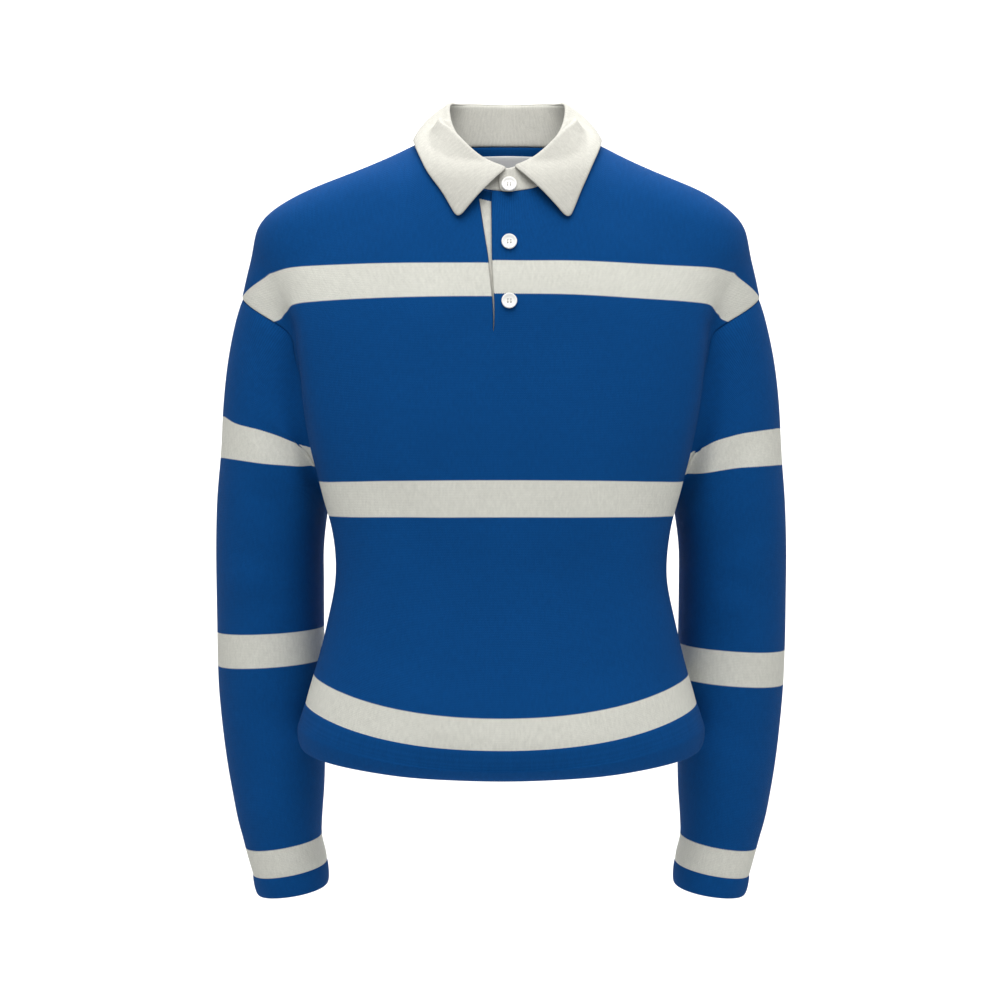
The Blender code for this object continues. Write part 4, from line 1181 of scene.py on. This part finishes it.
def make_buttons():
    """The three buttons, square to the cloth, each sewn on through its holes."""
    plastic = mottled("pearl_white_button", 0.28, 160.0, 2.0, SHELL_COLOURS, {"Coat Weight": 0.3})
    thread = mottled("sewing_thread", 0.8, 3000.0, 1.0, THREAD_COLOURS)
    for name in ("button_top", "button_middle", "button_low"):
        low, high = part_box(name)
        spot = (np.array(low) + np.array(high)) / 2 / MM
        away = outward(settle(spot[None]))[0]
        right = unit(np.cross((0.0, 0.0, 1.0), away))
        turn = np.stack([right, np.cross(away, right), away], axis=1)

        shell = button_shell()
        set_at(shell, turn, spot, -BUTTON_MIDDLE)
        button = added(name + "_disc", shell, plastic)
        dress(button, name)
        drill_holes(button, turn, spot)

        loops = thread_loops()
        set_at(loops, turn, spot)
        sewn = added(name + "_thread", loops, thread)
        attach(sewn, "root")


front = make_front()
back = make_back()
make_sleeves()
make_hem_band()
make_cuffs()
make_placket()
make_neckband(front, back)
make_leaf()
make_label()
make_buttons()


# ---- studio

SWEEP = ((-5.0, -1.5), (2.6, -1.5), (2.6, 5.5))  # y and z of its near edge, fold and top
SWEEP_HALF_WIDTH, SWEEP_BEND = 6.0, 1.6
ROOM_LIGHT = 0.42
LAMPS = (  # name, place, aim, size and power
    ("top_softbox", (0.0, -1.25, 1.55), (0.0, 0.0, -0.2), 2.2, 56.0),
    ("backdrop_softbox", (0.0, 0.9, 1.9), (0.0, 2.6, -0.1), 2.0, 85.0),
)
CAMERA_PLACE = (-0.001, -1.6, -0.280)
CAMERA_VIEW = 33.07  # degrees across
CAMERA_SHIFT = -0.05


def sweep_of_paper():
    """A pale floor that bends up behind the shirt."""
    sweep = bmesh.new()
    bmesh.ops.create_grid(sweep, x_segments=1, y_segments=2, size=1.0)
    for vert in sweep.verts:
        vert.co = (vert.co.x * SWEEP_HALF_WIDTH, *SWEEP[round(vert.co.y) + 1])
    fold = [edge for edge in sweep.edges
            if all((vert.co.yz - Vector(SWEEP[1])).length < 0.001 for vert in edge.verts)]
    bmesh.ops.bevel(sweep, geom=fold, offset=SWEEP_BEND, offset_type="OFFSET", segments=16,
                    profile=0.5, affect="EDGES", material=-1)
    paper = shader_of("pale_paper", 0.9, {"Base Color": (0.93, 0.93, 0.93, 1.0)})[0]
    added("sweep", sweep, paper)


def soft_light():
    """An even pale room, and one large soft lamp each for the shirt and for the backdrop."""
    scene = bpy.context.scene
    world = bpy.data.worlds.new("soft room")
    world.use_nodes = True
    room = world.node_tree.nodes["Background"]
    room.inputs["Color"].default_value = (1.0, 1.0, 1.0, 1.0)
    room.inputs["Strength"].default_value = ROOM_LIGHT
    scene.world = world
    for name, place, aim, size, power in LAMPS:
        lamp = bpy.data.lights.new(name, "AREA")
        lamp.shape = "SQUARE"
        lamp.size = size
        lamp.energy = power
        light = bpy.data.objects.new(name, lamp)
        light.location = place
        x, y, z = np.array(aim) - np.array(place)
        light.rotation_euler = (math.atan2(math.hypot(x, y), -z), 0.0,
                                math.atan2(y, x) - math.pi / 2)
        light.visible_camera = False
        scene.collection.objects.link(light)


def set_camera():
    """A level camera in front of the shirt."""
    scene = bpy.context.scene
    lens = bpy.data.cameras.new("camera")
    lens.sensor_fit = "HORIZONTAL"
    lens.angle = math.radians(CAMERA_VIEW)
    lens.shift_y = CAMERA_SHIFT
    camera = bpy.data.objects.new("camera", lens)
    camera.location = CAMERA_PLACE
    camera.rotation_euler = (math.radians(90.0), 0.0, 0.0)
    scene.collection.objects.link(camera)
    scene.camera = camera
    scene.view_settings.view_transform = "Standard"


sweep_of_paper()
soft_light()
set_camera()
